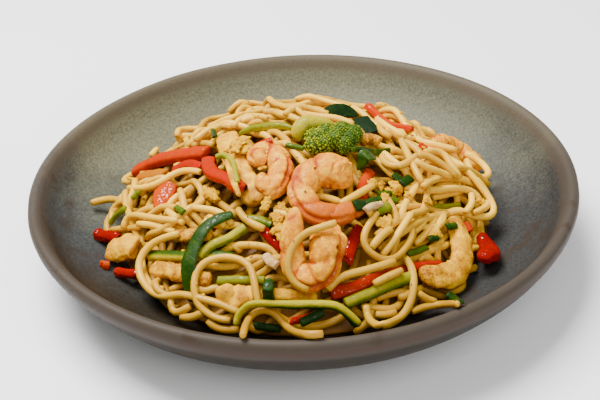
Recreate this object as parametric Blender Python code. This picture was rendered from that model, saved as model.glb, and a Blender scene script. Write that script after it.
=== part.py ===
import math
import random

import bpy
import bmesh
from mathutils import Vector
from mathutils.bvhtree import BVHTree

MM = 0.001
GAP = 0.3 * MM
SEGMENTS = 48
CORE_SEGMENTS = 36

LIP_RADIUS = 131.5 * MM
BOWL_HEIGHT = 40.0 * MM

HEAP_CENTRE = (-2.0 * MM, 0.0)
HEAP_RADIUS = 97.0 * MM
HEAP_EDGE = 14.0 * MM
HEAP_TOP = 60.0 * MM
CORE_DEPTH = 3.6 * MM
CORE_RADIUS = 91.0 * MM

NOODLE_RADIUS = 1.65 * MM
NOODLE_SIDES = 5
NOODLE_STEP = 7.0 * MM
NOODLE_SEED = 41
NOODLE_TRIES = 420
NOODLE_SPANS = 272

STRIP = [(1.0, 0.0), (0.7, 1.0), (-0.7, 1.0), (-1.0, 0.0), (-0.7, -1.0), (0.7, -1.0)]
SHEET = [(1.0, 0.6), (0.0, 1.0), (-1.0, 0.6), (-1.0, -0.6), (0.0, -1.0), (1.0, -0.6)]


def round_section(sides):
    turn = 2.0 * math.pi / sides
    return [(math.cos(k * turn), math.sin(k * turn)) for k in range(sides)]


def clear_scene():
    for old in list(bpy.data.objects):
        bpy.data.objects.remove(old, do_unlink=True)


def make_material(name, colour, roughness):
    material = bpy.data.materials.new(name)
    material.use_nodes = True
    shader = material.node_tree.nodes["Principled BSDF"]
    shader.inputs["Base Color"].default_value = (*colour, 1.0)
    shader.inputs["Roughness"].default_value = roughness
    return material


def add_object(name, mesh, material):
    mesh.materials.append(material)
    for face in mesh.polygons:
        face.use_smooth = True
    obj = bpy.data.objects.new(name, mesh)
    bpy.context.scene.collection.objects.link(obj)
    return obj


def loft(name, rings, closed_tips):
    """Mesh through rings of equal count, its ends closed by a fan or by one flat face."""
    shape = bmesh.new()
    loops = [[shape.verts.new(point) for point in ring] for ring in rings]
    count = len(rings[0])
    for lower, upper in zip(loops, loops[1:]):
        for k in range(count):
            following = (k + 1) % count
            shape.faces.new((lower[k], lower[following], upper[following], upper[k]))
    for loop in (loops[0], loops[-1]):
        if closed_tips:
            middle = shape.verts.new(sum((v.co for v in loop), Vector()) / count)
            for k in range(count):
                shape.faces.new((loop[k], loop[(k + 1) % count], middle))
        else:
            shape.faces.new(loop)
    bmesh.ops.recalc_face_normals(shape, faces=shape.faces)
    bmesh.ops.triangulate(shape, faces=shape.faces)
    mesh = bpy.data.meshes.new(name)
    shape.to_mesh(mesh)
    shape.free()
    return mesh


def revolve(name, profile, segments):
    """Closed solid of revolution from an outline that starts and ends on the axis."""
    shape = bmesh.new()
    rings = []
    for radius, height in profile[1:-1]:
        turn = 2.0 * math.pi / segments
        rings.append([
            shape.verts.new((radius * math.cos(k * turn), radius * math.sin(k * turn), height))
            for k in range(segments)
        ])
    for lower, upper in zip(rings, rings[1:]):
        for k in range(segments):
            following = (k + 1) % segments
            shape.faces.new((lower[k], lower[following], upper[following], upper[k]))
    for ring, tip in ((rings[0], profile[0]), (rings[-1], profile[-1])):
        pole = shape.verts.new((0.0, 0.0, tip[1]))
        for k in range(segments):
            shape.faces.new((ring[k], ring[(k + 1) % segments], pole))
    bmesh.ops.recalc_face_normals(shape, faces=shape.faces)
    mesh = bpy.data.meshes.new(name)
    shape.to_mesh(mesh)
    shape.free()
    return mesh


def outer_wall(radius):
    """Height of the bowl's outside, flat by the foot and steep under the lip."""
    reach = max(0.0, (radius - 60.0 * MM) / (LIP_RADIUS - 60.0 * MM))
    return 3.5 * MM + 31.5 * MM * reach ** 4


FLOOR = [(0.0, 7.4), (45.0, 7.5), (66.0, 8.0), (82.0, 9.0), (94.0, 11.0), (104.0, 14.6),
         (112.5, 19.6), (119.0, 26.0), (123.0, 33.0), (125.5, 37.6)]


def floor_height(radius):
    """Height of the bowl's inside at a distance from its axis."""
    reach = radius / MM
    for (r0, z0), (r1, z1) in zip(FLOOR, FLOOR[1:]):
        if reach <= r1:
            return (z0 + (z1 - z0) * (reach - r0) / (r1 - r0)) * MM
    return BOWL_HEIGHT


def bowl_profile():
    inside = [(r * MM, z * MM) for r, z in FLOOR]
    lip = [(126.9, 39.4), (128.7, 40.0), (130.5, 39.3), (131.5, 37.2)]
    outside = [(r * MM, outer_wall(r * MM)) for r in (130.8, 128.0, 124.0, 117.0, 107.0, 92.0, 66.0)]
    foot = [(61.5, 2.6), (59.5, 0.0), (54.5, 0.0), (52.0, 2.2), (0.0, 2.2)]
    return inside + [(r * MM, z * MM) for r, z in lip] + outside + [(r * MM, z * MM) for r, z in foot]


def heap_height(x, y):
    """Top of the heaped noodles, a dome that is lower towards its uneven edge."""
    across = x - HEAP_CENTRE[0]
    along = y - HEAP_CENTRE[1]
    turn = math.atan2(along, across)
    reach = HEAP_RADIUS * (1.0 + 0.02 * math.sin(3.0 * turn + 0.6) + 0.015 * math.sin(5.0 * turn))
    share = min(1.0, math.hypot(across, along) / reach)
    swell = 1.0 * MM * math.sin(x / (17.0 * MM) + 0.8) * math.sin(y / (15.0 * MM) - 0.5)
    return HEAP_EDGE + (HEAP_TOP - HEAP_EDGE) * (1.0 - share ** 2) + swell * (1.0 - share)


def heap_normal(x, y):
    step = 2.0 * MM
    slope_x = (heap_height(x + step, y) - heap_height(x - step, y)) / (2.0 * step)
    slope_y = (heap_height(x, y + step) - heap_height(x, y - step)) / (2.0 * step)
    return Vector((-slope_x, -slope_y, 1.0)).normalized()


def make_core():
    """Plain mound under the noodles that show, its underside following the bowl's floor."""
    shape = bmesh.new()
    turn = 2.0 * math.pi / CORE_SEGMENTS
    rings = []
    for radius in (94.0, 82.0, 60.0):
        reach = min(radius * MM, CORE_RADIUS)
        height = floor_height(reach) + 1.6 * GAP
        rings.insert(0, [(reach * math.cos(k * turn), reach * math.sin(k * turn), height)
                         for k in range(CORE_SEGMENTS)])
    for share in (1.0, 0.91, 0.78, 0.61, 0.4, 0.18):
        ring = []
        for k in range(CORE_SEGMENTS):
            x = CORE_RADIUS * share * math.cos(k * turn)
            y = CORE_RADIUS * share * math.sin(k * turn)
            ring.append((x, y, heap_height(x, y) - CORE_DEPTH))
        rings.append(ring)
    loops = [[shape.verts.new(point) for point in ring] for ring in rings]
    for lower, upper in zip(loops, loops[1:]):
        for k in range(CORE_SEGMENTS):
            following = (k + 1) % CORE_SEGMENTS
            shape.faces.new((lower[k], lower[following], upper[following], upper[k]))
    bottom = shape.verts.new((0.0, 0.0, floor_height(0.0) + 1.6 * GAP))
    peak = shape.verts.new((0.0, 0.0, heap_height(0.0, 0.0) - CORE_DEPTH))
    for loop, pole in ((loops[0], bottom), (loops[-1], peak)):
        for k in range(CORE_SEGMENTS):
            shape.faces.new((loop[k], loop[(k + 1) % CORE_SEGMENTS], pole))
    bmesh.ops.recalc_face_normals(shape, faces=shape.faces)
    bmesh.ops.triangulate(shape, faces=shape.faces)
    mesh = bpy.data.meshes.new("noodles")
    shape.to_mesh(mesh)
    shape.free()
    return mesh


def tree_of(mesh, offset):
    """Search tree of a mesh, its corners moved out along their normals by an offset."""
    corners = [v.co + v.normal * offset for v in mesh.vertices]
    faces = [tuple(p.vertices) for p in mesh.polygons]
    return BVHTree.FromPolygons(corners, faces)


class Ground:
    """Everything laid so far that the next piece must rest on and stay clear of."""

    def __init__(self):
        self.trees = []

    def add(self, mesh):
        self.trees.append(tree_of(mesh, 0.0))

    def support(self, x, y):
        """Highest point straight below a spot."""
        best = 0.0
        for tree in self.trees:
            hit = tree.ray_cast(Vector((x, y, 0.2)), Vector((0.0, 0.0, -1.0)))
            if hit[0] is not None:
                best = max(best, hit[0].z)
        return best

    def touches(self, mesh):
        grown = tree_of(mesh, 1.15 * GAP)
        return any(grown.overlap(tree) for tree in self.trees)

    def distance(self, point):
        return min(tree.find_nearest(point)[3] for tree in self.trees)


def curve_through(points, count):
    """Smooth curve through a few plan points, at an even spacing."""
    ends = [points[0]] + list(points) + [points[-1]]
    fine = []
    for k in range(1, len(ends) - 2):
        a, b, c, d = (Vector(p) for p in ends[k - 1:k + 3])
        for s in range(12):
            t = s / 12.0
            fine.append(0.5 * ((2.0 * b) + (c - a) * t + (2.0 * a - 5.0 * b + 4.0 * c - d) * t * t
                               + (3.0 * b - a - 3.0 * c + d) * t ** 3))
    fine.append(Vector(points[-1]))
    lengths = [0.0]
    for a, b in zip(fine, fine[1:]):
        lengths.append(lengths[-1] + (b - a).length)
    result = []
    for k in range(count):
        want = lengths[-1] * k / (count - 1)
        i = 0
        while i < len(lengths) - 2 and lengths[i + 1] < want:
            i += 1
        share = (want - lengths[i]) / max(lengths[i + 1] - lengths[i], 1e-9)
        result.append(fine[i].lerp(fine[i + 1], share))
    return result


def drape(ground, points, count, half_width, half_thick, rise):
    """Path of a piece laid over what lies beneath, stiff enough to bridge small dips."""
    plan = curve_through([(x * MM, y * MM) for x, y in points], count)
    normals = [heap_normal(p.x, p.y) for p in plan]
    base = []
    reach = []
    for k, spot in enumerate(plan):
        ahead = plan[min(k + 1, count - 1)] - plan[max(k - 1, 0)]
        side = Vector((ahead.y, -ahead.x, 0.0)).normalized()
        foot = Vector((spot.x, spot.y, heap_height(spot.x, spot.y) - CORE_DEPTH))
        normal = normals[k]
        side = (side - normal * side.dot(normal)).normalized()
        highest = 0.0
        for share in (-0.85, 0.0, 0.85):
            probe = foot + side * (half_width * share)
            under = Vector((probe.x, probe.y, ground.support(probe.x, probe.y)))
            highest = max(highest, (under - foot).dot(normal))
        base.append(foot)
        reach.append(highest)
    for _ in range(6):
        eased = list(reach)
        for k in range(1, count - 1):
            eased[k] = max(reach[k], 0.5 * (reach[k - 1] + reach[k + 1]))
        reach = eased
    path = []
    for k in range(count):
        share = k / (count - 1) * (len(rise) - 1)
        low = min(int(share), len(rise) - 2)
        lift = rise[low] + (rise[low + 1] - rise[low]) * (share - low)
        path.append(base[k] + normals[k] * (reach[k] + half_thick + 1.5 * GAP + lift * MM))
    return path, normals


def sweep(name, path, normals, sizes, section, tilt, twist, closed_tips):
    """Solid along a path, its section given by half widths and half thicknesses."""
    rings = []
    count = len(path)
    for k in range(count):
        ahead = (path[min(k + 1, count - 1)] - path[max(k - 1, 0)]).normalized()
        side = ahead.cross(normals[k]).normalized()
        upward = side.cross(ahead).normalized()
        lean = math.radians(tilt + twist * (k / (count - 1) - 0.5))
        across = side * math.cos(lean) + upward * math.sin(lean)
        over = upward * math.cos(lean) - side * math.sin(lean)
        wide, thick = sizes[k]
        rings.append([path[k] + across * (u * wide) + over * (v * thick) for u, v in section])
    return loft(name, rings, closed_tips)


def settle(ground, mesh, direction):
    """Moves a piece off its neighbours in small steps until the gap is free all round."""
    for _ in range(60):
        if not ground.touches(mesh):
            break
        for corner in mesh.vertices:
            corner.co += direction * (0.25 * MM)
        mesh.update()


def lay_strip(ground, name, material, spec):
    """Strip, slice or leaf given by its plan points, width and thickness in millimetres."""
    points = spec["path"]
    count = spec.get("rings", 7)
    half_width = spec["width"] * 0.5 * MM
    half_thick = spec["thick"] * 0.5 * MM
    tilt = spec.get("tilt", 0.0)
    flat = abs(math.cos(math.radians(tilt)))
    tall = half_thick * flat + half_width * (1.0 - flat)
    rise = spec.get("rise", (0.0, 0.0))
    path, normals = drape(ground, points, count, half_width, tall, rise)
    chance = random.Random(spec.get("seed", 1))
    uneven = spec.get("uneven", 0.06)
    tip = spec.get("tip", 0.6)
    sizes = []
    for k in range(count):
        share = k / (count - 1)
        near_end = min(share, 1.0 - share) * (count - 1)
        scale = tip if near_end < 0.5 else 1.0
        start, end = spec.get("taper", (1.0, 1.0))
        scale *= start + (end - start) * share
        scale *= 1.0 + chance.uniform(-uneven, uneven)
        thin = (0.5 + 0.5 * tip) if near_end < 0.5 else 1.0
        sizes.append((half_width * scale, half_thick * thin * (1.0 + chance.uniform(-uneven, uneven))))
    section = spec.get("section", STRIP)
    mesh = sweep(name, path, normals, sizes, section, tilt, spec.get("twist", 0.0), True)
    settle(ground, mesh, normals[count // 2])
    ground.add(mesh)
    return add_object(name, mesh, material)


def lay_prawn(ground, name, material, spec):
    """Curled prawn: a ridged body that narrows to a tail with a small spread fan."""
    points = spec["path"]
    count = 14
    widths = spec["widths"]
    halves = []
    for k in range(count):
        share = k / (count - 1) * (len(widths) - 1)
        low = min(int(share), len(widths) - 2)
        width = widths[low] + (widths[low + 1] - widths[low]) * (share - low)
        ridge = 1.05 if k % 2 else 0.97
        halves.append(width * 0.5 * MM * ridge)
    path, normals = drape(ground, points, count, halves[3] * 0.7, halves[3] * 0.8, spec.get("rise", (0.0, 0.0)))
    sizes = [(half, half * 0.82) for half in halves]
    sizes[0] = (halves[0] * 0.6, halves[0] * 0.5)
    if spec.get("fan", True):
        sizes[-2] = (1.8 * MM, 1.4 * MM)
        sizes[-1] = (3.4 * MM, 0.7 * MM)
    mesh = sweep(name, path, normals, sizes, round_section(9), spec.get("tilt", 0.0), 0.0, True)
    settle(ground, mesh, normals[count // 2])
    ground.add(mesh)
    return add_object(name, mesh, material)


def lay_lump(ground, name, material, spec):
    """Crinkled scrap made from a squashed ball with an uneven surface."""
    chance = random.Random(spec.get("seed", 1))
    shape = bmesh.new()
    bmesh.ops.create_icosphere(shape, subdivisions=2, radius=1.0)
    x, y = spec["at"][0] * MM, spec["at"][1] * MM
    length, width, height = (0.5 * MM * size for size in spec["size"])
    turn = math.radians(spec.get("turn", 0.0))
    normal = heap_normal(x, y)
    ahead = Vector((math.cos(turn), math.sin(turn), 0.0))
    ahead = (ahead - normal * ahead.dot(normal)).normalized()
    side = normal.cross(ahead)
    centre = Vector((x, y, ground.support(x, y))) + normal * (height + GAP)
    for corner in shape.verts:
        u, v, w = corner.co
        bump = 1.0 + chance.uniform(-0.16, 0.16)
        corner.co = centre + ahead * (u * length * bump) + side * (v * width * bump) + normal * (w * height * bump)
    bmesh.ops.recalc_face_normals(shape, faces=shape.faces)
    mesh = bpy.data.meshes.new(name)
    shape.to_mesh(mesh)
    shape.free()
    settle(ground, mesh, normal)
    ground.add(mesh)
    return add_object(name, mesh, material)


def join_solids(name, meshes):
    """One solid from several that cross, by a single union, keeping its outer body."""
    group = bpy.data.collections.new(name + "_pieces")
    bpy.context.scene.collection.children.link(group)
    for k, mesh in enumerate(meshes[1:]):
        piece = bpy.data.objects.new("%s_piece_%d" % (name, k), mesh)
        piece.display_type = "WIRE"
        piece.hide_render = True
        group.objects.link(piece)
    base = bpy.data.objects.new(name, meshes[0])
    bpy.context.scene.collection.objects.link(base)
    union = base.modifiers.new("union", "BOOLEAN")
    union.operation = "UNION"
    union.operand_type = "COLLECTION"
    union.collection = group
    union.solver = "EXACT"
    union.use_self = True
    bpy.context.view_layer.objects.active = base
    base.select_set(True)
    bpy.ops.object.modifier_apply(modifier="union")
    for piece in list(group.objects):
        bpy.data.objects.remove(piece, do_unlink=True)
    bpy.data.collections.remove(group)
    keep_outer_body(base.data)
    return base


def keep_outer_body(mesh):
    """Drops loose scraps and fills sealed hollows, leaving the largest closed body."""
    shape = bmesh.new()
    shape.from_mesh(mesh)
    bmesh.ops.remove_doubles(shape, verts=shape.verts, dist=0.001 * MM)
    bmesh.ops.dissolve_limit(shape, angle_limit=math.radians(1.5), verts=shape.verts, edges=shape.edges)
    bmesh.ops.triangulate(shape, faces=shape.faces)
    left = set(shape.verts)
    bodies = []
    while left:
        queue = [left.pop()]
        body = [queue[0]]
        while queue:
            corner = queue.pop()
            for edge in corner.link_edges:
                other = edge.other_vert(corner)
                if other in left:
                    left.remove(other)
                    queue.append(other)
                    body.append(other)
        bodies.append(body)
    bodies.sort(key=len, reverse=True)
    for body in bodies[1:]:
        bmesh.ops.delete(shape, geom=body, context="VERTS")
    bmesh.ops.recalc_face_normals(shape, faces=shape.faces)
    shape.to_mesh(mesh)
    shape.free()
    mesh.update()


def lay_broccoli(ground, name, material, spec):
    """Floret: a short thick stem with a crown of joined knobs."""
    chance = random.Random(5)
    x, y = spec["at"][0] * MM, spec["at"][1] * MM
    base = Vector((x, y, ground.support(x, y)))
    stem_path = [base + Vector(step) * MM for step in ((-16, 3, 6), (-11, 7, 9), (-4, 7, 10), (3, 3, 8))]
    normals = [Vector((0.0, 0.0, 1.0))] * 4
    sizes = [(4.2 * MM, 3.4 * MM), (4.4 * MM, 3.6 * MM), (4.8 * MM, 4.2 * MM), (5.0 * MM, 4.6 * MM)]
    meshes = [sweep(name, stem_path, normals, sizes, round_section(7), 0.0, 0.0, True)]
    for k in range(13):
        turn = k * 2.4
        reach = 2.5 + 8.2 * math.sqrt(k / 13.0)
        knob = bmesh.new()
        bmesh.ops.create_icosphere(knob, subdivisions=1, radius=(4.3 + chance.uniform(-0.6, 0.6)) * MM)
        height = 9.0 - 0.035 * reach * reach
        shift = Vector((2.0 + 1.25 * reach * math.cos(turn), -2.5 + 0.72 * reach * math.sin(turn), height)) * MM
        bmesh.ops.translate(knob, verts=knob.verts, vec=base + shift)
        mesh = bpy.data.meshes.new(name)
        knob.to_mesh(mesh)
        knob.free()
        meshes.append(mesh)
    obj = join_solids(name, meshes)
    settle(ground, obj.data, Vector((0.0, 0.0, 1.0)))
    ground.add(obj.data)
    obj.data.materials.clear()
    obj.data.materials.append(material)
    for face in obj.data.polygons:
        face.use_smooth = True
    return obj


PRAWNS = {
    "prawn_left": {"path": [(-17.3, -26), (-19.6, -20.5), (-16.5, -15.5), (-11, -19.5), (-9.5, -29), (-12, -36.5),
                            (-16, -37)],
                   "widths": (6.5, 9.0, 11.0, 11.5, 11.5, 10.0, 8.0), "fan": False},
    "prawn_middle": {"path": [(20, -35), (11, -30), (2, -34), (-2, -42), (2, -51), (12, -53), (25, -49)],
                     "widths": (15.0, 17.0, 15.0, 13.0, 11.5, 10.0, 7.0, 4.0), "rise": (1.0, 0.5)},
    "prawn_front": {"path": [(8, -60), (9, -66.5), (6.5, -73.5), (0.5, -75.5), (-4.5, -72), (-5.8, -65.5),
                             (-3.5, -56.5)],
                    "widths": (14.0, 15.5, 14.5, 12.5, 11.5, 10.5, 9.0, 7.0), "fan": False, "rise": (0.5, 0.5)},
    "prawn_right": {"path": [(66, 28), (73, 36), (80, 37), (85.5, 32), (87, 26)],
                    "widths": (8.5, 10.5, 11.0, 11.0, 10.0, 8.5), "fan": False},
}

CHICKEN = {
    "chicken_long": {"path": [(-35, 13), (-32, -3), (-28, -20), (-23, -32), (-20, -43)],
                     "width": 11.5, "thick": 6.5, "rings": 9, "uneven": 0.1, "seed": 2},
    "chicken_left": {"path": [(-90, -27), (-84, -30), (-76, -34)],
                     "width": 12.0, "thick": 7.0, "rings": 5, "uneven": 0.1, "seed": 3},
    "chicken_golden": {"path": [(-69, -51), (-54, -62), (-41, -70)],
                       "width": 7.5, "thick": 4.5, "rings": 7, "uneven": 0.1, "seed": 4},
    "chicken_brown": {"path": [(-58, -42), (-49, -47), (-40, -50)],
                      "width": 7.0, "thick": 4.5, "rings": 6, "uneven": 0.1, "seed": 5},
    "chicken_front": {"path": [(-34, -78), (-28, -79), (-21, -79)],
                      "width": 10.0, "thick": 7.0, "rings": 6, "uneven": 0.12, "seed": 6},
    "chicken_shred": {"path": [(-17, -79), (-8, -80), (4, -81)],
                      "width": 5.5, "thick": 3.5, "rings": 5, "uneven": 0.12, "seed": 7},
    "chicken_curled": {"path": [(68, -32), (70, -43), (69, -52), (65, -60), (57, -66), (48, -68)],
                       "width": 11.0, "thick": 6.5, "rings": 11, "uneven": 0.12, "seed": 8},
}

PEPPERS = {
    "pepper_back_left": {"path": [(-84, 37), (-70, 26), (-56, 13.5), (-44, 5)],
                         "width": 8.5, "thick": 4.2, "rings": 8, "rise": (1.0, 0.0)},
    "pepper_arch": {"path": [(-62, 4), (-54, 3), (-46, -7)], "width": 5.5, "thick": 2.8, "rings": 6},
    "pepper_orange": {"path": [(-81, 22), (-72, 12), (-66, 5)], "width": 6.5, "thick": 3.0, "rings": 5},
    "pepper_curl": {"path": [(-42, -3), (-41, -13), (-37, -23), (-31, -31), (-25, -39)],
                    "width": 7.0, "thick": 3.2, "rings": 8, "tilt": 25.0},
    "pepper_hanging": {"path": [(-60, -7), (-64, -13), (-67, -21)],
                       "width": 9.0, "thick": 2.8, "rings": 6, "taper": (0.75, 1.0), "tilt": 28.0},
    "pepper_left": {"path": [(-98, -10), (-93, -14), (-87, -19)], "width": 5.5, "thick": 3.6, "rings": 5},
    "pepper_low_left": {"path": [(-87, -40), (-82, -44), (-76, -48)], "width": 4.0, "thick": 3.0, "rings": 4},
    "pepper_thin": {"path": [(-24, -6), (-18, -2), (-13, 0)], "width": 3.6, "thick": 2.6, "rings": 5},
    "pepper_back": {"path": [(34, 53), (38, 45), (45, 33), (54, 24)], "width": 5.5, "thick": 3.0, "rings": 7,
                    "rise": (9.0, 3.0, 0.5, 0.0), "taper": (1.1, 0.7)},
    "pepper_centre": {"path": [(31, -21), (27, -31), (26, -39)], "width": 5.0, "thick": 3.0, "rings": 6},
    "pepper_middle": {"path": [(24, -53), (20, -60), (17, -68)], "width": 5.5, "thick": 3.0, "rings": 6},
    "pepper_dark": {"path": [(-18, -54), (-13, -60), (-10, -63)], "width": 4.5, "thick": 2.8, "rings": 5},
    "pepper_right": {"path": [(79, -29), (82, -37), (81, -46), (76, -53)],
                     "width": 7.0, "thick": 4.0, "rings": 7},
    "pepper_front": {"path": [(9, -80), (18, -78), (29, -73), (41, -67), (50, -62), (60, -57)],
                     "width": 5.5, "thick": 3.2, "rings": 10, "taper": (1.15, 0.5)},
    "pepper_tip": {"path": [(-8, -89), (-2, -88), (4, -87)], "width": 3.4, "thick": 2.6, "rings": 4},
}

GREENS = {
    "courgette_left": {"path": [(-71, -43), (-59, -51), (-50, -56), (-41, -59), (-31, -63)],
                       "width": 5.0, "thick": 3.0, "rings": 9},
    "onion_left": {"path": [(-17, -63), (-15, -69), (-12, -73)], "width": 4.0, "thick": 2.2, "rings": 5},
    "green_curved": {"path": [(-29, -47), (-37, -48), (-44, -51), (-48, -56), (-51, -62), (-52, -67), (-51, -72)],
                     "width": 5.0, "thick": 1.8, "rings": 11},
    "celery_strip": {"path": [(-25, -50), (-33, -54), (-40, -56), (-46, -60)],
                     "width": 4.2, "thick": 2.6, "rings": 7},
    "green_hook": {"path": [(-26, -47), (-20, -49), (-14, -52)], "width": 4.6, "thick": 2.2, "rings": 5},
    "green_upright": {"path": [(-16, -74), (-16, -79), (-16, -84)], "width": 4.6, "thick": 2.4, "rings": 5},
    "green_light": {"path": [(-39, -70), (-29, -72), (-18, -74)], "width": 4.0, "thick": 2.2, "rings": 6},
    "green_back": {"path": [(-28, 1), (-22, 8), (-15, 11), (-8, 11), (-1, 6)],
                   "width": 4.6, "thick": 2.8, "rings": 8, "taper": (0.8, 0.8)},
    "green_on_chicken": {"path": [(-36, -15), (-32, -16), (-28, -23), (-27, -30), (-26, -37)],
                         "width": 3.0, "thick": 1.8, "rings": 8},
    "leaf_back": {"path": [(11, 23), (20, 27), (29, 29)], "width": 8.0, "thick": 1.1, "rings": 6,
                  "section": SHEET, "rise": (3.0, 5.0, 3.0), "tilt": -40.0},
    "leaf_upright": {"path": [(29, 25), (31, 18), (34, 11)], "width": 9.5, "thick": 1.1, "rings": 5,
                     "section": SHEET, "rise": (3.0, 2.0, 0.5), "tilt": -25.0},
    "stalk_back": {"path": [(22, -18.5), (30.5, -10.5), (40.5, -1)], "width": 2.8, "thick": 2.4, "rings": 6},
    "leaf_centre": {"path": [(23.5, -21), (28, -20), (32.5, -16)], "width": 6.0, "thick": 1.1, "rings": 5,
                    "section": SHEET},
    "green_dark": {"path": [(20, -53), (25, -47), (30, -41), (35, -38)], "width": 5.5, "thick": 1.8, "rings": 7},
    "onion_centre": {"path": [(23, -53), (27, -48), (31, -45)], "width": 3.2, "thick": 2.2, "rings": 5},
    "celery_right": {"path": [(59, -29), (66, -24), (73, -18)], "width": 3.0, "thick": 2.4, "rings": 5},
    "olive_strip": {"path": [(44, -59), (49, -56), (54, -52)], "width": 3.2, "thick": 2.4, "rings": 4},
    "courgette_front": {"path": [(14, -84), (26, -79), (37, -73), (45, -69)],
                        "width": 5.2, "thick": 3.4, "rings": 8, "taper": (0.9, 1.1)},
    "celery_front": {"path": [(-31, -88), (-29, -85), (-19, -85), (-8, -86), (3, -86), (13, -87), (21, -89)],
                     "width": 4.4, "thick": 3.0, "rings": 11},
    "green_low": {"path": [(-23, -89), (-18, -90), (-12, -91)], "width": 3.4, "thick": 2.0, "rings": 4},
}

EGGS = {
    "egg_on_chicken": {"at": (-27, -9), "size": (10.0, 8.0, 4.0), "turn": 20.0, "seed": 11},
    "egg_left": {"at": (-41, -29), "size": (13.0, 6.0, 4.0), "turn": -50.0, "seed": 12},
    "egg_centre": {"at": (-16, -45), "size": (9.0, 6.0, 4.0), "turn": 70.0, "seed": 13},
    "egg_low": {"at": (-12, -56), "size": (7.5, 5.0, 3.4), "turn": 40.0, "seed": 14},
    "egg_right": {"at": (41, -30), "size": (9.0, 7.0, 4.2), "turn": 10.0, "seed": 15},
}


def noodle_plan(chance, x, y, heading, steps):
    """Wandering plan path whose turning changes slowly, so that it curls like soft noodle."""
    points = [(x, y)]
    bend = chance.uniform(-0.28, 0.28)
    for _ in range(steps):
        bend = max(-0.42, min(0.42, bend + chance.uniform(-0.13, 0.13)))
        heading += bend
        x += NOODLE_STEP * math.cos(heading)
        y += NOODLE_STEP * math.sin(heading)
        reach = math.hypot(x - HEAP_CENTRE[0], y - HEAP_CENTRE[1])
        if reach > 93.0 * MM:
            inward = math.atan2(-y, -x)
            swing = (inward - heading + math.pi) % (2.0 * math.pi) - math.pi
            heading += max(-0.5, min(0.5, swing))
        points.append((x, y))
    return points


def inside_heap(point):
    """Whether a spot of a noodle keeps within the heap's outline in plan."""
    return math.hypot(point.x - HEAP_CENTRE[0], point.y - HEAP_CENTRE[1]) < HEAP_RADIUS - 1.5 * MM


def clear_run(points, ground):
    """Longest stretch of a path that keeps its distance from bowl and toppings."""
    least = NOODLE_RADIUS + 1.5 * GAP
    best, current = [], []
    for k, point in enumerate(points):
        before = current[-1] if current else point
        between = [before.lerp(point, share) for share in (0.2, 0.4, 0.6, 0.8, 1.0)]
        if all(ground.distance(spot) > least for spot in between) and inside_heap(point):
            current.append(point)
            if len(current) > len(best):
                best = list(current)
        else:
            current = [point] if ground.distance(point) > least else []
    return best


def noodle_mesh(name, path):
    normals = []
    for point in path:
        normals.append(heap_normal(point.x, point.y))
    sizes = [(NOODLE_RADIUS, NOODLE_RADIUS)] * len(path)
    return sweep(name, path, normals, sizes, round_section(NOODLE_SIDES), 0.0, 0.0, False)


def noodle_level(x, y, crossed):
    """Height of a noodle's middle where it lies on the core and on noodles laid before it."""
    level = heap_height(x, y) - CORE_DEPTH + 0.9 * MM + crossed * 1.3 * MM
    lowest = floor_height(math.hypot(x, y)) + NOODLE_RADIUS + 2.2 * GAP
    return max(level, lowest)


def cells_of(path):
    """Small plan squares that a noodle lies over."""
    found = set()
    for before, point in zip(path, path[1:]):
        for share in (0.0, 0.5):
            spot = before.lerp(point, share)
            for dx, dy in ((0, 0), (1, 0), (-1, 0), (0, 1), (0, -1)):
                found.add((round(spot.x / (4.0 * MM)) + dx, round(spot.y / (4.0 * MM)) + dy))
    return found


def make_noodles(core, bowl_mesh, toppings, material):
    """Core with the noodles that show fused on, each next one where the heap is still barest."""
    obstacles = Ground()
    obstacles.add(bowl_mesh)
    for topping in toppings:
        obstacles.add(topping.data)
    chance = random.Random(NOODLE_SEED)
    candidates = []
    for k in range(NOODLE_TRIES):
        share = (k * 0.618034) % 1.0
        reach = HEAP_RADIUS * 0.97 * math.sqrt(share)
        turn = k * 2.39996
        x = HEAP_CENTRE[0] + reach * math.cos(turn)
        y = HEAP_CENTRE[1] + reach * math.sin(turn)
        lean = chance.uniform(-math.pi, math.pi)
        plan = noodle_plan(chance, x, y, turn + lean, 15)
        run = clear_run([Vector((px, py, noodle_level(px, py, 0.0))) for px, py in plan], obstacles)
        if len(run) >= 4:
            candidates.append((run, cells_of(run)))
    meshes = [core]
    covered = {}
    spans = 0
    while candidates and spans < NOODLE_SPANS:
        gains = [sum(1.0 if cell not in covered else -0.35 * covered[cell] for cell in cells)
                 for run, cells in candidates]
        best = max(range(len(candidates)), key=lambda k: gains[k])
        run, cells = candidates.pop(best)
        crossed = [min(1.0, 0.5 * covered.get((round(p.x / (4.0 * MM)), round(p.y / (4.0 * MM))), 0))
                   for p in run]
        run = [Vector((p.x, p.y, noodle_level(p.x, p.y, over))) for p, over in zip(run, crossed)]
        run = clear_run(run, obstacles)
        if len(run) < 4:
            continue
        for cell in cells:
            covered[cell] = covered.get(cell, 0) + 1
        meshes.append(noodle_mesh("noodle_strand", run))
        spans += len(run) - 1
    obj = join_solids("noodles", meshes)
    obj.data.materials.clear()
    obj.data.materials.append(material)
    for face in obj.data.polygons:
        face.use_smooth = True
    print("noodle strands", len(meshes) - 1, "triangles", len(obj.data.polygons))
    return obj


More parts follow.
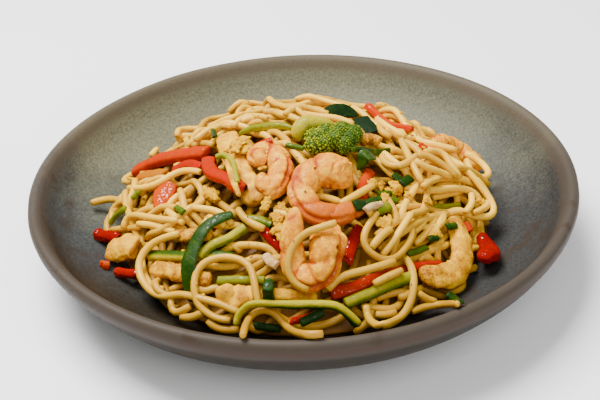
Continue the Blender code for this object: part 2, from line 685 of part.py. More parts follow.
def main():
    clear_scene()
    glaze = make_material("slate_glaze", (0.16, 0.17, 0.17), 0.35)
    wheat = make_material("noodle", (0.72, 0.55, 0.33), 0.4)
    prawn = make_material("prawn", (0.86, 0.45, 0.28), 0.35)
    chicken = make_material("chicken", (0.74, 0.56, 0.38), 0.5)
    pepper = make_material("pepper", (0.66, 0.06, 0.02), 0.3)
    green = make_material("green", (0.16, 0.28, 0.05), 0.4)
    egg = make_material("egg", (0.80, 0.56, 0.14), 0.5)
    floret = make_material("floret", (0.14, 0.26, 0.04), 0.6)

    bowl = add_object("bowl", revolve("bowl", bowl_profile(), SEGMENTS), glaze)
    core = make_core()
    ground = Ground()
    ground.add(bowl.data)
    ground.add(core)
    toppings = []
    for name, spec in CHICKEN.items():
        toppings.append(lay_strip(ground, name, chicken, spec))
    for name, spec in PEPPERS.items():
        toppings.append(lay_strip(ground, name, pepper, spec))
    for name, spec in PRAWNS.items():
        toppings.append(lay_prawn(ground, name, prawn, spec))
    toppings.append(lay_broccoli(ground, "broccoli", floret, {"at": (12.5, -5)}))
    for name, spec in GREENS.items():
        toppings.append(lay_strip(ground, name, green, spec))
    for name, spec in EGGS.items():
        toppings.append(lay_lump(ground, name, egg, spec))
    make_noodles(core, bowl.data, toppings, wheat)
    total = 0
    for obj in bpy.data.objects:
        obj.data.calc_loop_triangles()
        total += len(obj.data.loop_triangles)
    print("nodes", len(bpy.data.objects), "triangles", total)


main()
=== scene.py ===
import math
import random

import bpy
import bmesh
import numpy as np
from mathutils import Matrix, Vector, noise
from mathutils.bvhtree import BVHTree


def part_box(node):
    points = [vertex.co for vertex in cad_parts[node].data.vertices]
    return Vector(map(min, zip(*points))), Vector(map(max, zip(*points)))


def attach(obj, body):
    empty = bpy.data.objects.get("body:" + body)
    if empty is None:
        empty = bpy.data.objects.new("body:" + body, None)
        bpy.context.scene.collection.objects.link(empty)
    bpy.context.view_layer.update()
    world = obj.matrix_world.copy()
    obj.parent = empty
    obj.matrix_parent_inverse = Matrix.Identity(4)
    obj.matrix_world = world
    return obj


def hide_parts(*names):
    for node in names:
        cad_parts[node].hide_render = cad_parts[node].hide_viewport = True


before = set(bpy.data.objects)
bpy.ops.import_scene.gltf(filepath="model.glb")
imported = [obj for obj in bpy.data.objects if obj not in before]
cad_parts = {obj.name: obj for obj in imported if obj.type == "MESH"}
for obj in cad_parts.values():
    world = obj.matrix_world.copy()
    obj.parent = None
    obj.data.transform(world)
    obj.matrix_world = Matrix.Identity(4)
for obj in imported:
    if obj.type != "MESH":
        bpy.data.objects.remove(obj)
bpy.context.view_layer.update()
bpy.ops.object.select_all(action="DESELECT")
mm = 0.001


# Shader maths: a wire is a socket that can be used in a sum. Colours are light values from 0 to 1, mixed
# deeper than they look, because the picture's tone curve pales them.

class Wire:
    def __init__(self, finish, socket):
        self.finish = finish
        self.socket = socket

    def reckon(self, kind, first, second):
        return self.finish.add("ShaderNodeMath", {"operation": kind}, {0: first, 1: second})

    def __add__(self, other):
        return self.reckon("ADD", self, other)

    def __radd__(self, other):
        return self.reckon("ADD", other, self)

    def __sub__(self, other):
        return self.reckon("SUBTRACT", self, other)

    def __rsub__(self, other):
        return self.reckon("SUBTRACT", other, self)

    def __mul__(self, other):
        return self.reckon("MULTIPLY", self, other)

    def __rmul__(self, other):
        return self.reckon("MULTIPLY", other, self)

    def above(self, low, high):
        return self.finish.add("ShaderNodeMapRange", {"interpolation_type": "SMOOTHSTEP"},
                               {"Value": self, "From Min": low, "From Max": high})

    def clamped(self):
        return self.finish.add("ShaderNodeMath", {"operation": "ADD", "use_clamp": True}, {0: self, 1: 0.0})


class Finish:
    def __init__(self, name, constants):
        self.material = bpy.data.materials.new(name)
        self.material.use_nodes = True
        self.tree = self.material.node_tree
        self.shader = self.tree.nodes["Principled BSDF"]
        for key, value in constants.items():
            self.shader.inputs[key].default_value = value

    def add(self, kind, settings, values, output=0):
        node = self.tree.nodes.new(kind)
        for key, value in settings.items():
            if key == "stops":
                while len(node.color_ramp.elements) < len(value):
                    node.color_ramp.elements.new(0.5)
                for element, (place, colour) in zip(node.color_ramp.elements, value):
                    element.position = place
                    element.color = (*colour, 1.0)
            else:
                setattr(node, key, value)
        for key, value in values.items():
            self.feed(node.inputs[key], value)
        return Wire(self, node.outputs[output])

    def feed(self, socket, value):
        if isinstance(value, Wire):
            self.tree.links.new(value.socket, socket)
        else:
            socket.default_value = value

    def wear(self, name, value):
        self.feed(self.shader.inputs[name], value)

    def place(self):
        return self.add("ShaderNodeTexCoord", {}, {}, "Object")

    def grain(self, size, detail=3.0, rough=0.55, distort=0.0):
        return self.add("ShaderNodeTexNoise", {}, {
            "Vector": self.place(), "Scale": 1.0 / size, "Detail": detail,
            "Roughness": rough, "Distortion": distort})

    def cells(self, size):
        return self.add("ShaderNodeTexVoronoi", {}, {"Vector": self.place(), "Scale": 1.0 / size})

    def blend(self, share, first, second):
        first = first if isinstance(first, Wire) else (*first, 1.0)
        second = second if isinstance(second, Wire) else (*second, 1.0)
        return self.add("ShaderNodeMix", {"data_type": "RGBA"}, {0: share, 6: first, 7: second}, 2)

    def stored(self, name):
        return self.add("ShaderNodeAttribute", {"attribute_name": name}, {}, "Fac")

    def relief(self, height, depth):
        bump = self.add("ShaderNodeBump", {}, {"Height": height, "Distance": depth, "Strength": 1.0})
        self.wear("Normal", bump)


# Shapes that every piece uses

def smoothCurve(points, count):
    ends = [points[0]] + list(points) + [points[-1]]
    fine = []
    for k in range(1, len(ends) - 2):
        a, b, c, d = (np.array(p, float) for p in ends[k - 1:k + 3])
        for s in np.arange(0.0, 1.0, 0.05):
            fine.append(0.5 * (2 * b + (c - a) * s + (2 * a - 5 * b + 4 * c - d) * s * s
                               + (3 * b - a - 3 * c + d) * s ** 3))
    fine.append(np.array(points[-1], float))
    fine = np.array(fine)
    lengths = np.concatenate([[0.0], np.cumsum(np.linalg.norm(np.diff(fine, axis=0), axis=1))])
    want = np.linspace(0.0, lengths[-1], count)
    return np.stack([np.interp(want, lengths, fine[:, k]) for k in range(fine.shape[1])], axis=1)


def makePiece(name, points, faces, finish, stored):
    mesh = bpy.data.meshes.new(name)
    mesh.from_pydata([tuple(p) for p in points], [], faces)
    for key, values in stored.items():
        layer = mesh.attributes.new(key, "FLOAT", "POINT")
        layer.data.foreach_set("value", np.asarray(values, np.float32))
    mesh.materials.append(finish.material)
    mesh.polygons.foreach_set("use_smooth", [True] * len(mesh.polygons))
    mesh.update()
    piece = bpy.data.objects.new(name, mesh)
    bpy.context.scene.collection.objects.link(piece)
    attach(piece, "root")
    return piece


def tubeFaces(rings, sides, start):
    faces = []
    for k in range(rings - 1):
        low = start + k * sides
        for j in range(sides):
            nextSide = (j + 1) % sides
            faces.append((low + j, low + nextSide, low + sides + nextSide, low + sides + j))
    last = start + rings * sides
    for j in range(sides):
        faces.append((start + (j + 1) % sides, start + j, last))
        top = start + (rings - 1) * sides
        faces.append((top + j, top + (j + 1) % sides, last + 1))
    return faces


# The bowl: lip 263 mm across and 40 mm high, as the frame has it

bowlShape = {
    "inside": [(20, 7.4), (45, 7.5), (66, 8.0), (82, 9.0), (94, 11.0), (104, 14.6), (112.5, 19.6), (119, 26),
               (123, 33), (125.5, 37.6)],
    "lip": [(126.9, 39.4), (128.7, 40), (130.5, 39.3), (131.5, 37.2)],
    "outside": [(130.8, 33.4), (128, 28.2), (124, 22.2), (117, 14.9), (107, 9.1), (92, 5.0), (66, 3.5)],
    "foot": [(61.5, 2.6), (59.7, 0.2), (58.5, 0), (55.5, 0), (54, 0.5), (52, 2.2), (20, 2.2)],
    "around": 192,
}


def floorHeight(reach):
    radii = [0.0] + [r * mm for r, z in bowlShape["inside"]]
    heights = [7.4 * mm] + [z * mm for r, z in bowlShape["inside"]]
    return np.interp(reach, radii, heights)


def makeBowl(finish):
    profile = np.concatenate([
        smoothCurve(bowlShape["inside"] + bowlShape["lip"] + bowlShape["outside"], 84),
        np.array(bowlShape["foot"], float)]) * mm
    bpy.ops.mesh.primitive_circle_add(vertices=bowlShape["around"], radius=profile[0][0],
                                      location=(0, 0, profile[0][1]), fill_type="NGON")
    bowl = bpy.context.object
    bowl.name = "stonewareBowl"
    bpy.ops.object.mode_set(mode="EDIT")
    bpy.ops.mesh.select_mode(type="EDGE")
    bpy.ops.mesh.select_all(action="SELECT")
    for before, after in zip(profile, profile[1:]):
        bpy.ops.mesh.extrude_edges_move(TRANSFORM_OT_translate={"value": (0, 0, after[1] - before[1])})
        bpy.ops.transform.resize(value=(after[0] / before[0], after[0] / before[0], 1))
    bpy.ops.mesh.edge_face_add()
    bpy.ops.mesh.select_all(action="SELECT")
    bpy.ops.mesh.normals_make_consistent(inside=False)
    bpy.ops.object.mode_set(mode="OBJECT")
    bpy.ops.object.transform_apply(location=True, rotation=True, scale=True)
    for corner in bowl.data.vertices:  # thrown by hand, so it is never quite true
        wobble = noise.noise(corner.co * 22.0) * 0.25 * mm
        corner.co.z += wobble * min(1.0, corner.co.z / (20 * mm))
    bpy.ops.object.shade_smooth()
    bowl.data.materials.append(finish.material)
    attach(bowl, "root")
    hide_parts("bowl")
    bpy.ops.object.select_all(action="DESELECT")
    print("bowl", len(bowl.data.polygons), "faces")


glazeColours = {
    "slate": (0.025, 0.028, 0.028), "slateLight": (0.06, 0.065, 0.062),
    "beige": (0.09, 0.086, 0.053), "beigeLight": (0.185, 0.178, 0.108),
    # dim and dimLight are slate darkened as painted shade
    "dim": (0.015, 0.014, 0.013), "dimLight": (0.036, 0.035, 0.033),
    "brown": (0.01, 0.0075, 0.0045), "brownLight": (0.026, 0.02, 0.012),
    "tan": (0.085, 0.064, 0.04), "rim": (0.058, 0.044, 0.032),
    "outer": (0.035, 0.03, 0.029), "rust": (0.045, 0.026, 0.018), "stain": (0.03, 0.016, 0.007),
}


def makeGlaze():
    mix = glazeColours
    glaze = Finish("slateGlaze", {"Specular IOR Level": 0.12})
    place = glaze.place()
    x, y, z = (glaze.add("ShaderNodeSeparateXYZ", {}, {"Vector": place}, k) for k in ("X", "Y", "Z"))
    cloud = glaze.grain(38 * mm, 4.0)
    fine = glaze.grain(1.3 * mm, 5.0, rough=0.75)
    flat = glaze.add("ShaderNodeVectorMath", {"operation": "MULTIPLY"}, {0: place, 1: (1, 1, 0)})
    reach = glaze.add("ShaderNodeVectorMath", {"operation": "LENGTH"}, {0: flat}, "Value")
    lightSide = (y + (cloud - 0.5) * 0.1 + (fine - 0.5) * 0.02).above(-0.01, 0.07)
    dapple = (fine - 0.3).above(0.0, 0.4)
    slate = glaze.blend(dapple, mix["slate"], mix["slateLight"])
    beige = glaze.blend(dapple, mix["beige"], mix["beigeLight"])
    # painted shade: the beige back goes partly to slate towards the right
    beige = glaze.blend(x.above(0.01, 0.11) * 0.4, beige, slate)
    dim = glaze.blend(dapple, mix["dim"], mix["dimLight"])
    # painted shade: towards the front and right the glaze goes to the dim colours
    shady = (x * 0.8 - y * 0.7 + (cloud - 0.5) * 0.06).above(0.0, 0.1)
    brownFront = ((cloud - 0.5) * 0.06 - y - x * 0.4).above(0.04, 0.1)
    dim = glaze.blend(brownFront, dim, glaze.blend(dapple, mix["brown"], mix["brownLight"]))
    base = glaze.blend(lightSide, glaze.blend((shady * 0.85 + brownFront).clamped(), slate, dim), beige)
    rimBand = (z + (fine - 0.5) * 0.006).above(0.029, 0.036) * reach.above(0.1205, 0.1245)
    base = glaze.blend(rimBand * 0.8, base, glaze.blend(lightSide, mix["rim"], mix["tan"]))
    stained = (glaze.grain(16 * mm, 3.0) + (fine - 0.5) * 0.3).above(0.56, 0.68) * (1.0 - lightSide)
    base = glaze.blend(stained * 0.5, base, mix["stain"])
    outside = reach.above(0.1285, 0.1305) * (1.0 - z.above(0.0345, 0.0385))
    underBand = (z + (fine - 0.5) * 0.003).above(0.0265, 0.0335)
    base = glaze.blend(outside, base, glaze.blend(underBand, mix["outer"], mix["rust"]))
    base = glaze.blend((1.0 - z.above(0.03, 0.036)) * outside * dapple * 0.5, base, mix["slateLight"])
    darkSpeck = (1.0 - glaze.cells(2.2 * mm).above(0.08, 0.2)) * glaze.grain(9 * mm).above(0.45, 0.6)
    base = glaze.blend(darkSpeck * 0.5, base, mix["stain"])
    glaze.wear("Base Color", base)
    glaze.wear("Roughness", 0.4 + fine * 0.22)
    glaze.relief(fine * 0.6 + glaze.grain(7 * mm), 0.00014)
    return glaze


# The heap: a dome of noodles, lower towards its uneven edge, as the frame's noodle node has it

heapShape = {
    "centre": (-2 * mm, 0.0),
    "radius": 97 * mm,
    "edge": 14 * mm,
    "top": 60 * mm,
    "toppingDepth": 3.6 * mm,   # toppings rest this far below the top of the noodles
    "coreDepth": 9 * mm,        # inside of the heap, coloured deep as painted shade, that shows between the noodles
    "coreRadius": 92 * mm,
    "foot": 99 * mm,            # beyond it, things rest on the bowl
    "strandsStart": 93 * mm,
    "strandsEnd": 98 * mm,
    "turnBack": 91 * mm,        # where a noodle begins to bend inward
    "thinSpot": (-64 * mm, 50 * mm),   # the heap is thinner behind the peppers on the left
    "thinSpan": (30 * mm, 24 * mm),
    "thinBy": 5 * mm,
}


def heapHeight(x, y):
    across = x - heapShape["centre"][0]
    along = y - heapShape["centre"][1]
    turn = np.arctan2(along, across)
    reach = heapShape["radius"] * (1.0 + 0.02 * np.sin(3.0 * turn + 0.6) + 0.015 * np.sin(5.0 * turn))
    share = np.minimum(1.0, np.hypot(across, along) / reach)
    swell = 1.0 * mm * np.sin(x / (17.0 * mm) + 0.8) * np.sin(y / (15.0 * mm) - 0.5)
    dome = (heapShape["top"] - heapShape["edge"]) * (1.0 - share ** 2)
    return heapShape["edge"] + dome + swell * (1.0 - share)


def restingHeight(x, y):
    reach = np.hypot(x, y)
    return np.where(reach < heapShape["foot"], heapHeight(x, y), floorHeight(reach) + 2 * mm)


def heapNormal(x, y):
    step = 2.0 * mm
    slopeX = (heapHeight(x + step, y) - heapHeight(x - step, y)) / (2.0 * step)
    slopeY = (heapHeight(x, y + step) - heapHeight(x, y - step)) / (2.0 * step)
    return Vector((-slopeX, -slopeY, 1.0)).normalized()


# The photograph's view, which also places the noodles that were read off it

view = {
    "width": 600.0,
    "height": 400.0,
    "focal": 1141.15,
    "elevation": 32.651,
    "roll": -2.607,
    "target": (-1.547 * mm, -26.583 * mm, 40.0 * mm),
    "distance": 0.53,
    "search": (0.38, 0.72, 0.0004),   # from, to and step along a line of sight, in metres
    "pixelsPerMm": 2.17,
}


def viewAxes():
    lift = math.radians(view["elevation"])
    roll = math.radians(view["roll"])
    back = Vector((0.0, -math.cos(lift), math.sin(lift)))
    right = Vector((1.0, 0.0, 0.0))
    up = back.cross(right)
    turnedRight = right * math.cos(roll) + up * math.sin(roll)
    turnedUp = up * math.cos(roll) - right * math.sin(roll)
    return turnedRight, turnedUp, back, Vector(view["target"]) + back * view["distance"]


def makeCamera():
    right, up, back, eye = viewAxes()
    lens = bpy.data.cameras.new("photoCamera")
    lens.sensor_width = 36.0
    lens.lens = view["focal"] * lens.sensor_width / view["width"]
    lens.clip_start = 0.01
    camera = bpy.data.objects.new("photoCamera", lens)
    bpy.context.scene.collection.objects.link(camera)
    turned = Matrix((right, up, back)).transposed().to_4x4()
    camera.matrix_world = Matrix.Translation(eye) @ turned
    bpy.context.scene.camera = camera


def onHeap(column, row, lift):
    # where the line of sight through a spot of the photograph meets the heap
    right, up, back, eye = viewAxes()
    rightward = (column - view["width"] / 2) / view["focal"]
    downward = (row - view["height"] / 2) / view["focal"]
    ray = right * rightward - up * downward - back
    reach = np.arange(*view["search"])
    x = eye.x + reach * ray.x
    y = eye.y + reach * ray.y
    z = eye.z + reach * ray.z
    below = np.nonzero(z < restingHeight(x, y) + lift)[0]
    k = below[0] if len(below) else len(reach) - 1
    return float(x[k]), float(y[k])


# Noodles: each is laid on what is there already, and the next on that

noodleShape = {
    "radius": 1.72 * mm,
    "step": 2.3 * mm,
    "sides": 9,
    "under": 140,     # strands below the toppings
    "upper": 290,     # strands between the toppings
    "perPiece": 150,  # strands in one mesh
    "steps": (26, 62),
    "curls": (0.06, 0.12, 0.2),
    "pixelsPerRing": 4.83,   # along a noodle that was read off the photograph
    "seed": 7,
}

cell = 1.0 * mm
half = 126
level = np.zeros((2 * half + 1, 2 * half + 1))     # top of what lies there so far
roof = np.full(level.shape, 1.0)                   # underside of the toppings
crown = np.zeros(level.shape)                      # top side of the toppings
sight = np.full(level.shape, 1.0)                  # noodles above this would hide a topping from the camera


def gridIndex(x, y):
    i = np.clip(np.rint(np.asarray(x) / cell).astype(int) + half, 3, 2 * half - 3)
    j = np.clip(np.rint(np.asarray(y) / cell).astype(int) + half, 3, 2 * half - 3)
    return i, j


def startLevels():
    ticks = np.arange(-half, half + 1) * cell
    x, y = np.meshgrid(ticks, ticks, indexing="ij")
    core = np.where(np.hypot(x, y) < heapShape["coreRadius"], heapHeight(x, y) - heapShape["coreDepth"], 0.0)
    level[:] = np.maximum(floorHeight(np.hypot(x, y)), core)
    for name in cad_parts:
        if name in ("bowl", "noodles"):
            continue
        low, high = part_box(name)
        tree = nodeTree(name)
        for i in range(int(low[0] / cell) + half - 1, int(high[0] / cell) + half + 2):
            for j in range(int(low[1] / cell) + half - 1, int(high[1] / cell) + half + 2):
                spot = Vector(((i - half) * cell, (j - half) * cell, 0.2))
                above = tree.ray_cast(spot, Vector((0, 0, -1)))
                if above[0] is None:
                    continue
                spot.z = 0.0
                below = tree.ray_cast(spot, Vector((0, 0, 1)))
                crown[i, j] = max(crown[i, j], above[0].z)
                roof[i, j] = min(roof[i, j], below[0].z)
    middle = np.where(crown > 0, 0.5 * (crown + roof), 1.0)
    rise = math.tan(math.radians(view["elevation"])) * cell
    for step in range(1, 28):
        sight[:, :-step] = np.minimum(sight[:, :-step], middle[:, step:] + rise * step)


diskSteps = [(i, j, math.sqrt(max(0.0, 1.0 - (i * i + j * j) * (cell / noodleShape["radius"]) ** 2)))
             for i in (-1, 0, 1) for j in (-1, 0, 1)]


def layDown(plan, radius, over, sag):
    # height of a noodle along its plan path, resting on what is below and bridging the dips
    i, j = gridIndex(plan[:, 0], plan[:, 1])
    rest = np.zeros(len(plan))
    for di, dj, share in diskSteps:
        under = level[i + di, j + dj]
        if over:
            under = np.maximum(under, crown[i + di, j + dj])
        rest = np.maximum(rest, under + share * radius)
    ceiling = np.full(len(plan), 1.0)
    if not over:
        for di, dj, share in diskSteps:
            ceiling = np.minimum(ceiling, roof[i + di, j + dj] - radius)
        for _ in range(4):
            ceiling[1:] = np.minimum(ceiling[1:], ceiling[:-1] + 0.55 * noodleShape["step"])
            ceiling[:-1] = np.minimum(ceiling[:-1], ceiling[1:] + 0.55 * noodleShape["step"])
    z = rest.copy()
    for _ in range(40):
        eased = z.copy()
        eased[1:-1] = 0.5 * (z[:-2] + z[2:]) - sag
        z = np.maximum(rest, eased)
    z = np.minimum(z, ceiling)
    eased = z.copy()
    eased[1:-1] = 0.25 * z[:-2] + 0.5 * z[1:-1] + 0.25 * z[2:]
    return np.maximum(eased, floorHeight(np.hypot(plan[:, 0], plan[:, 1])) + radius)


def pressInto(path, radius):
    count = len(path) * 3
    fine = np.stack([np.interp(np.linspace(0, len(path) - 1, count), np.arange(len(path)), path[:, k])
                     for k in range(3)], axis=1)
    i, j = gridIndex(fine[:, 0], fine[:, 1])
    for di, dj, share in diskSteps:
        np.maximum.at(level, (i + di, j + dj), fine[:, 2] + share * radius)


def wander(chance, x, y, heading, steps, curl):
    points = [(x, y)]
    bend = chance.uniform(-curl, curl)
    for _ in range(steps):
        bend = 0.93 * bend + chance.uniform(-0.32, 0.32) * curl
        heading += bend
        reach = math.hypot(x - heapShape["centre"][0], y)
        if reach > heapShape["turnBack"]:
            inward = math.atan2(-y, -x)
            swing = (inward - heading + math.pi) % (2 * math.pi) - math.pi
            heading += max(-0.3, min(0.3, swing * 0.5))
        x += noodleShape["step"] * math.cos(heading)
        y += noodleShape["step"] * math.sin(heading)
        points.append((x, y))
    return np.array(points)


def scatterStrands(chance, count, target, overlapCost, strands):
    # of several tries each time, the noodle goes where the heap still lacks most
    for k in range(count):
        best = None
        for _ in range(14):
            turn = chance.uniform(0, 2 * math.pi)
            reach = heapShape["strandsStart"] * math.sqrt(chance.uniform(0.0, 1.0))
            startX = heapShape["centre"][0] + reach * math.cos(turn)
            plan = wander(chance, startX, reach * math.sin(turn), chance.uniform(0, 2 * math.pi),
                          chance.randint(*noodleShape["steps"]), chance.choice(noodleShape["curls"]))
            if np.hypot(plan[:, 0], plan[:, 1]).max() > heapShape["strandsEnd"]:
                continue
            i, j = gridIndex(plan[:, 0], plan[:, 1])
            if (sight[i, j] - level[i, j]).min() < noodleShape["radius"]:
                continue
            room = target(plan[:, 0], plan[:, 1]) - level[i, j]
            covered = (crown[i, j] > 0).mean()
            gain = np.clip(room, -4 * mm, 5 * mm).mean() - overlapCost * covered
            if best is None or gain > best[0]:
                best = (gain, plan)
        if best is None or best[0] < 0.2 * mm:
            continue
        radius = noodleShape["radius"] * chance.uniform(0.92, 1.06)
        z = layDown(best[1], radius, False, 0.05 * mm)
        path = np.column_stack([best[1], z])
        pressInto(path, radius)
        strands.append((path, radius, chance.random()))


# Noodles that stand out in the photograph, as columns and rows of the picture
seenNoodles = {
    "leftTip": [(92, 203), (107, 199), (117, 199), (128, 204)],
    "leftCurl": [(124, 200), (118, 203), (110, 212), (112, 222)],
    "leftTop": [(129, 188), (140, 189), (155, 185), (167, 178), (180, 171), (192, 170), (200, 172)],
    "leftHook": [(123, 228), (126, 217), (133, 214), (150, 218), (177, 221)],
    "leftLow": [(112, 230), (122, 229), (140, 227)],
    "leftMiddle": [(137, 214), (150, 208), (170, 205), (185, 198), (196, 186)],
    "leftLoop": [(178, 234), (157, 241), (143, 253), (138, 267), (143, 283), (154, 294), (165, 298),
                 (176, 294), (189, 296), (205, 300), (224, 306), (239, 313)],
    "lowLeftHook": [(171, 300), (170, 312), (176, 316), (190, 306)],
    "lowLeftEnd": [(181, 318), (194, 318), (203, 312)],
    "frontLowest": [(208, 321), (213, 328), (224, 331), (239, 330)],
    "bigLoop": [(259, 305), (256, 293), (253, 276), (249, 265), (240, 260), (225, 257), (214, 259),
                (201, 265), (195, 276), (194, 290), (197, 304), (207, 313), (219, 320), (230, 321)],
    "aboveLoop": [(217, 257), (229, 248), (240, 245), (264, 247), (274, 251), (278, 259)],
    "frontArch": [(243, 335), (247, 321), (257, 311), (268, 310), (277, 316), (284, 325), (290, 331),
                  (301, 335), (323, 334)],
    "frontSecond": [(288, 322), (301, 328), (321, 326), (336, 321), (349, 313)],
    "overPrawn": [(336, 223), (318, 229), (304, 234), (294, 245), (289, 256), (287, 269), (291, 280),
                  (298, 287), (308, 290)],
    "rightLoop": [(366, 306), (368, 320), (378, 327), (390, 324), (403, 316), (411, 302), (414, 285),
                  (412, 268), (405, 258)],
    "middleLoop": [(377, 213), (369, 225), (364, 233), (363, 244), (368, 251), (379, 259), (390, 261),
                   (400, 256), (407, 246), (413, 237), (412, 226)],
    "diagonalLow": [(328, 290), (340, 277), (361, 272), (379, 267), (395, 262)],
    "overPepper": [(374, 284), (388, 277), (402, 271)],
    "slantOne": [(380, 250), (395, 238), (412, 226), (430, 217), (448, 214)],
    "slantTwo": [(376, 236), (390, 226), (405, 217), (427, 210)],
    "slantThree": [(390, 263), (410, 252), (424, 242), (438, 230), (452, 221)],
    "slantFour": [(385, 268), (405, 262), (425, 252), (442, 242)],
    "rightSlant": [(463, 218), (456, 229), (442, 239), (428, 250), (419, 261)],
    "rightCurl": [(460, 217), (448, 221), (445, 231)],
    "rightShort": [(468, 217), (475, 228), (473, 238)],
    "rightEnd": [(412, 312), (428, 306), (442, 305), (457, 304)],
    "rightLong": [(404, 188), (432, 191), (454, 188), (467, 189), (476, 194), (480, 200)],
    "rightWave": [(398, 208), (413, 206), (426, 208), (438, 212), (451, 213), (459, 207)],
    "rightTip": [(453, 168), (467, 168), (476, 174), (489, 185)],
    "rightHook": [(476, 179), (486, 191), (491, 204), (485, 209), (474, 213)],
    "backRightOne": [(425, 152), (436, 150), (445, 154), (449, 161), (454, 170), (460, 178)],
    "backRightTwo": [(398, 167), (408, 163), (417, 155), (425, 154), (433, 159), (445, 166), (457, 177)],
    "backRightThree": [(415, 161), (425, 168), (438, 171), (450, 177)],
    "backCurl": [(393, 153), (385, 150), (379, 155), (380, 160), (388, 166), (399, 167), (408, 163),
                 (416, 156)],
    "backFall": [(401, 140), (406, 151), (416, 172), (422, 183)],
    "backTop": [(405, 138), (420, 139), (435, 142), (442, 147)],
    "overEgg": [(384, 196), (392, 205), (398, 224)],
    "backLoop": [(234, 126), (238, 119), (246, 115), (259, 116), (267, 118)],
    "farTop": [(285, 114), (295, 107), (302, 106), (315, 110), (328, 114)],
    "farMiddle": [(270, 111), (285, 115), (302, 121)],
    "inCurl": [(317, 196), (329, 198), (341, 203)],
    "fromCurl": [(341, 204), (352, 198), (362, 192), (373, 186)],
    "leftUnder": [(138, 224), (157, 226), (174, 232)],
    "leftUnderTwo": [(163, 224), (176, 226), (186, 231)],
    "leftUnderThree": [(167, 211), (174, 216), (183, 223)],
    "leftDown": [(180, 190), (184, 203), (185, 216), (189, 224), (198, 230)],
    "leftAcross": [(205, 187), (206, 196), (209, 206)],
    "leftEnd": [(209, 214), (207, 222), (204, 227)],
    "leftEndTwo": [(209, 216), (217, 223), (225, 225)],
    "besideEgg": [(200, 192), (212, 199), (224, 206), (237, 216)],
    "leftOver": [(193, 208), (205, 209), (219, 212), (229, 219), (232, 225)],
    "besideChicken": [(238, 209), (242, 218), (252, 224), (264, 229)],
    "aboveFrontPrawn": [(274, 213), (287, 215), (298, 219)],
    "backLeftEnd": [(151, 156), (157, 149)],
    "backLeftStub": [(186, 137), (188, 149)],
    "backLeftPale": [(193, 146), (200, 143), (213, 145)],
    "backLeftLong": [(195, 140), (205, 132), (214, 126), (224, 125), (231, 126)],
    "slantFive": [(412, 213), (405, 223), (394, 241), (382, 255)],
    "slantSix": [(391, 229), (380, 237), (372, 248)],
    "slantSeven": [(427, 214), (422, 226), (415, 232)],
    "slantEight": [(435, 215), (432, 225), (427, 233), (415, 244)],
    "slantNine": [(442, 217), (436, 230), (430, 238)],
    "slantTen": [(414, 239), (405, 244), (395, 251)],
    "rightDrop": [(439, 243), (437, 251), (438, 261)],
    "rightEdge": [(480, 217), (480, 232), (474, 243)],
    "frontArchTwo": [(377, 299), (393, 293), (407, 292)],
    "frontArchThree": [(418, 293), (427, 300), (436, 302)],
    "frontStub": [(376, 315), (384, 316), (396, 312)],
    "rightUnderChicken": [(420, 287), (432, 294), (445, 298)],
    "upperRightEnd": [(439, 179), (428, 183), (423, 187)],
    "upperRightUnder": [(433, 198), (449, 194), (462, 191)],
    "rightInner": [(471, 194), (473, 204), (466, 212)],
    "besidePepper": [(377, 119), (386, 127), (399, 133), (405, 137)],
    "besidePepperTwo": [(378, 126), (382, 133), (391, 137)],
}
strandsOver = ("overPrawn", "overPepper", "overEgg", "rightLoop", "middleLoop", "bigLoop", "diagonalLow",
               "frontArch", "leftLoop", "leftTop", "fromCurl", "besideChicken")
strandsHigh = ("overPrawn", "leftTop")   # these climb onto something tall

settling = {
    "tries": 10,
    "triesHigh": 24,
    "stride": 3 * mm,
    "sag": 0.03 * mm,
    "foot": (84 * mm, 98 * mm),   # between these distances from the middle, what may lift a noodle
    "footLift": 2 * mm,           # falls to this, because the heap runs out
}


def settle(route, count, radius, over, stiff=False, tries=settling["tries"]):
    # lays a route of the photograph on what is there; its height moves the spot that the line of sight meets
    stride = settling["stride"]
    pixels = smoothCurve(route, count)
    lift = np.zeros(count)
    for _ in range(tries):
        plan = np.array([onHeap(c, r, h) for (c, r), h in zip(pixels, lift)])
        z = restingHeight(plan[:, 0], plan[:, 1]) + lift
        change = 0.5 * np.clip(layDown(plan, radius, over, settling["sag"]) - z, -stride, stride)
        reach = np.hypot(plan[:, 0], plan[:, 1])
        most = np.interp(reach, settling["foot"], (tries * mm, settling["footLift"]))
        lift = np.minimum(lift + (change.mean() if stiff else change), most)
        for _ in range(6):
            lift[1:-1] = 0.25 * lift[:-2] + 0.5 * lift[1:-1] + 0.25 * lift[2:]
            lift[0], lift[-1] = 0.5 * (lift[0] + lift[1]), 0.5 * (lift[-1] + lift[-2])
    path = np.column_stack([plan, np.maximum(z, floorHeight(np.hypot(plan[:, 0], plan[:, 1])) + radius)])
    for _ in range(3):   # no kinks
        path[1:-1] = 0.25 * path[:-2] + 0.5 * path[1:-1] + 0.25 * path[2:]
    pressInto(path, radius)
    return path


def traceStrands(chance, strands):
    for name, route in seenNoodles.items():
        length = sum(math.hypot(b[0] - a[0], b[1] - a[1]) for a, b in zip(route, route[1:]))
        count = max(6, int(length / noodleShape["pixelsPerRing"]))
        radius = noodleShape["radius"] * chance.uniform(0.96, 1.06)
        tries = settling["triesHigh" if name in strandsHigh else "tries"]
        path = settle(route, count, radius, name in strandsOver, tries=tries)
        strands.append((path, radius, chance.random()))


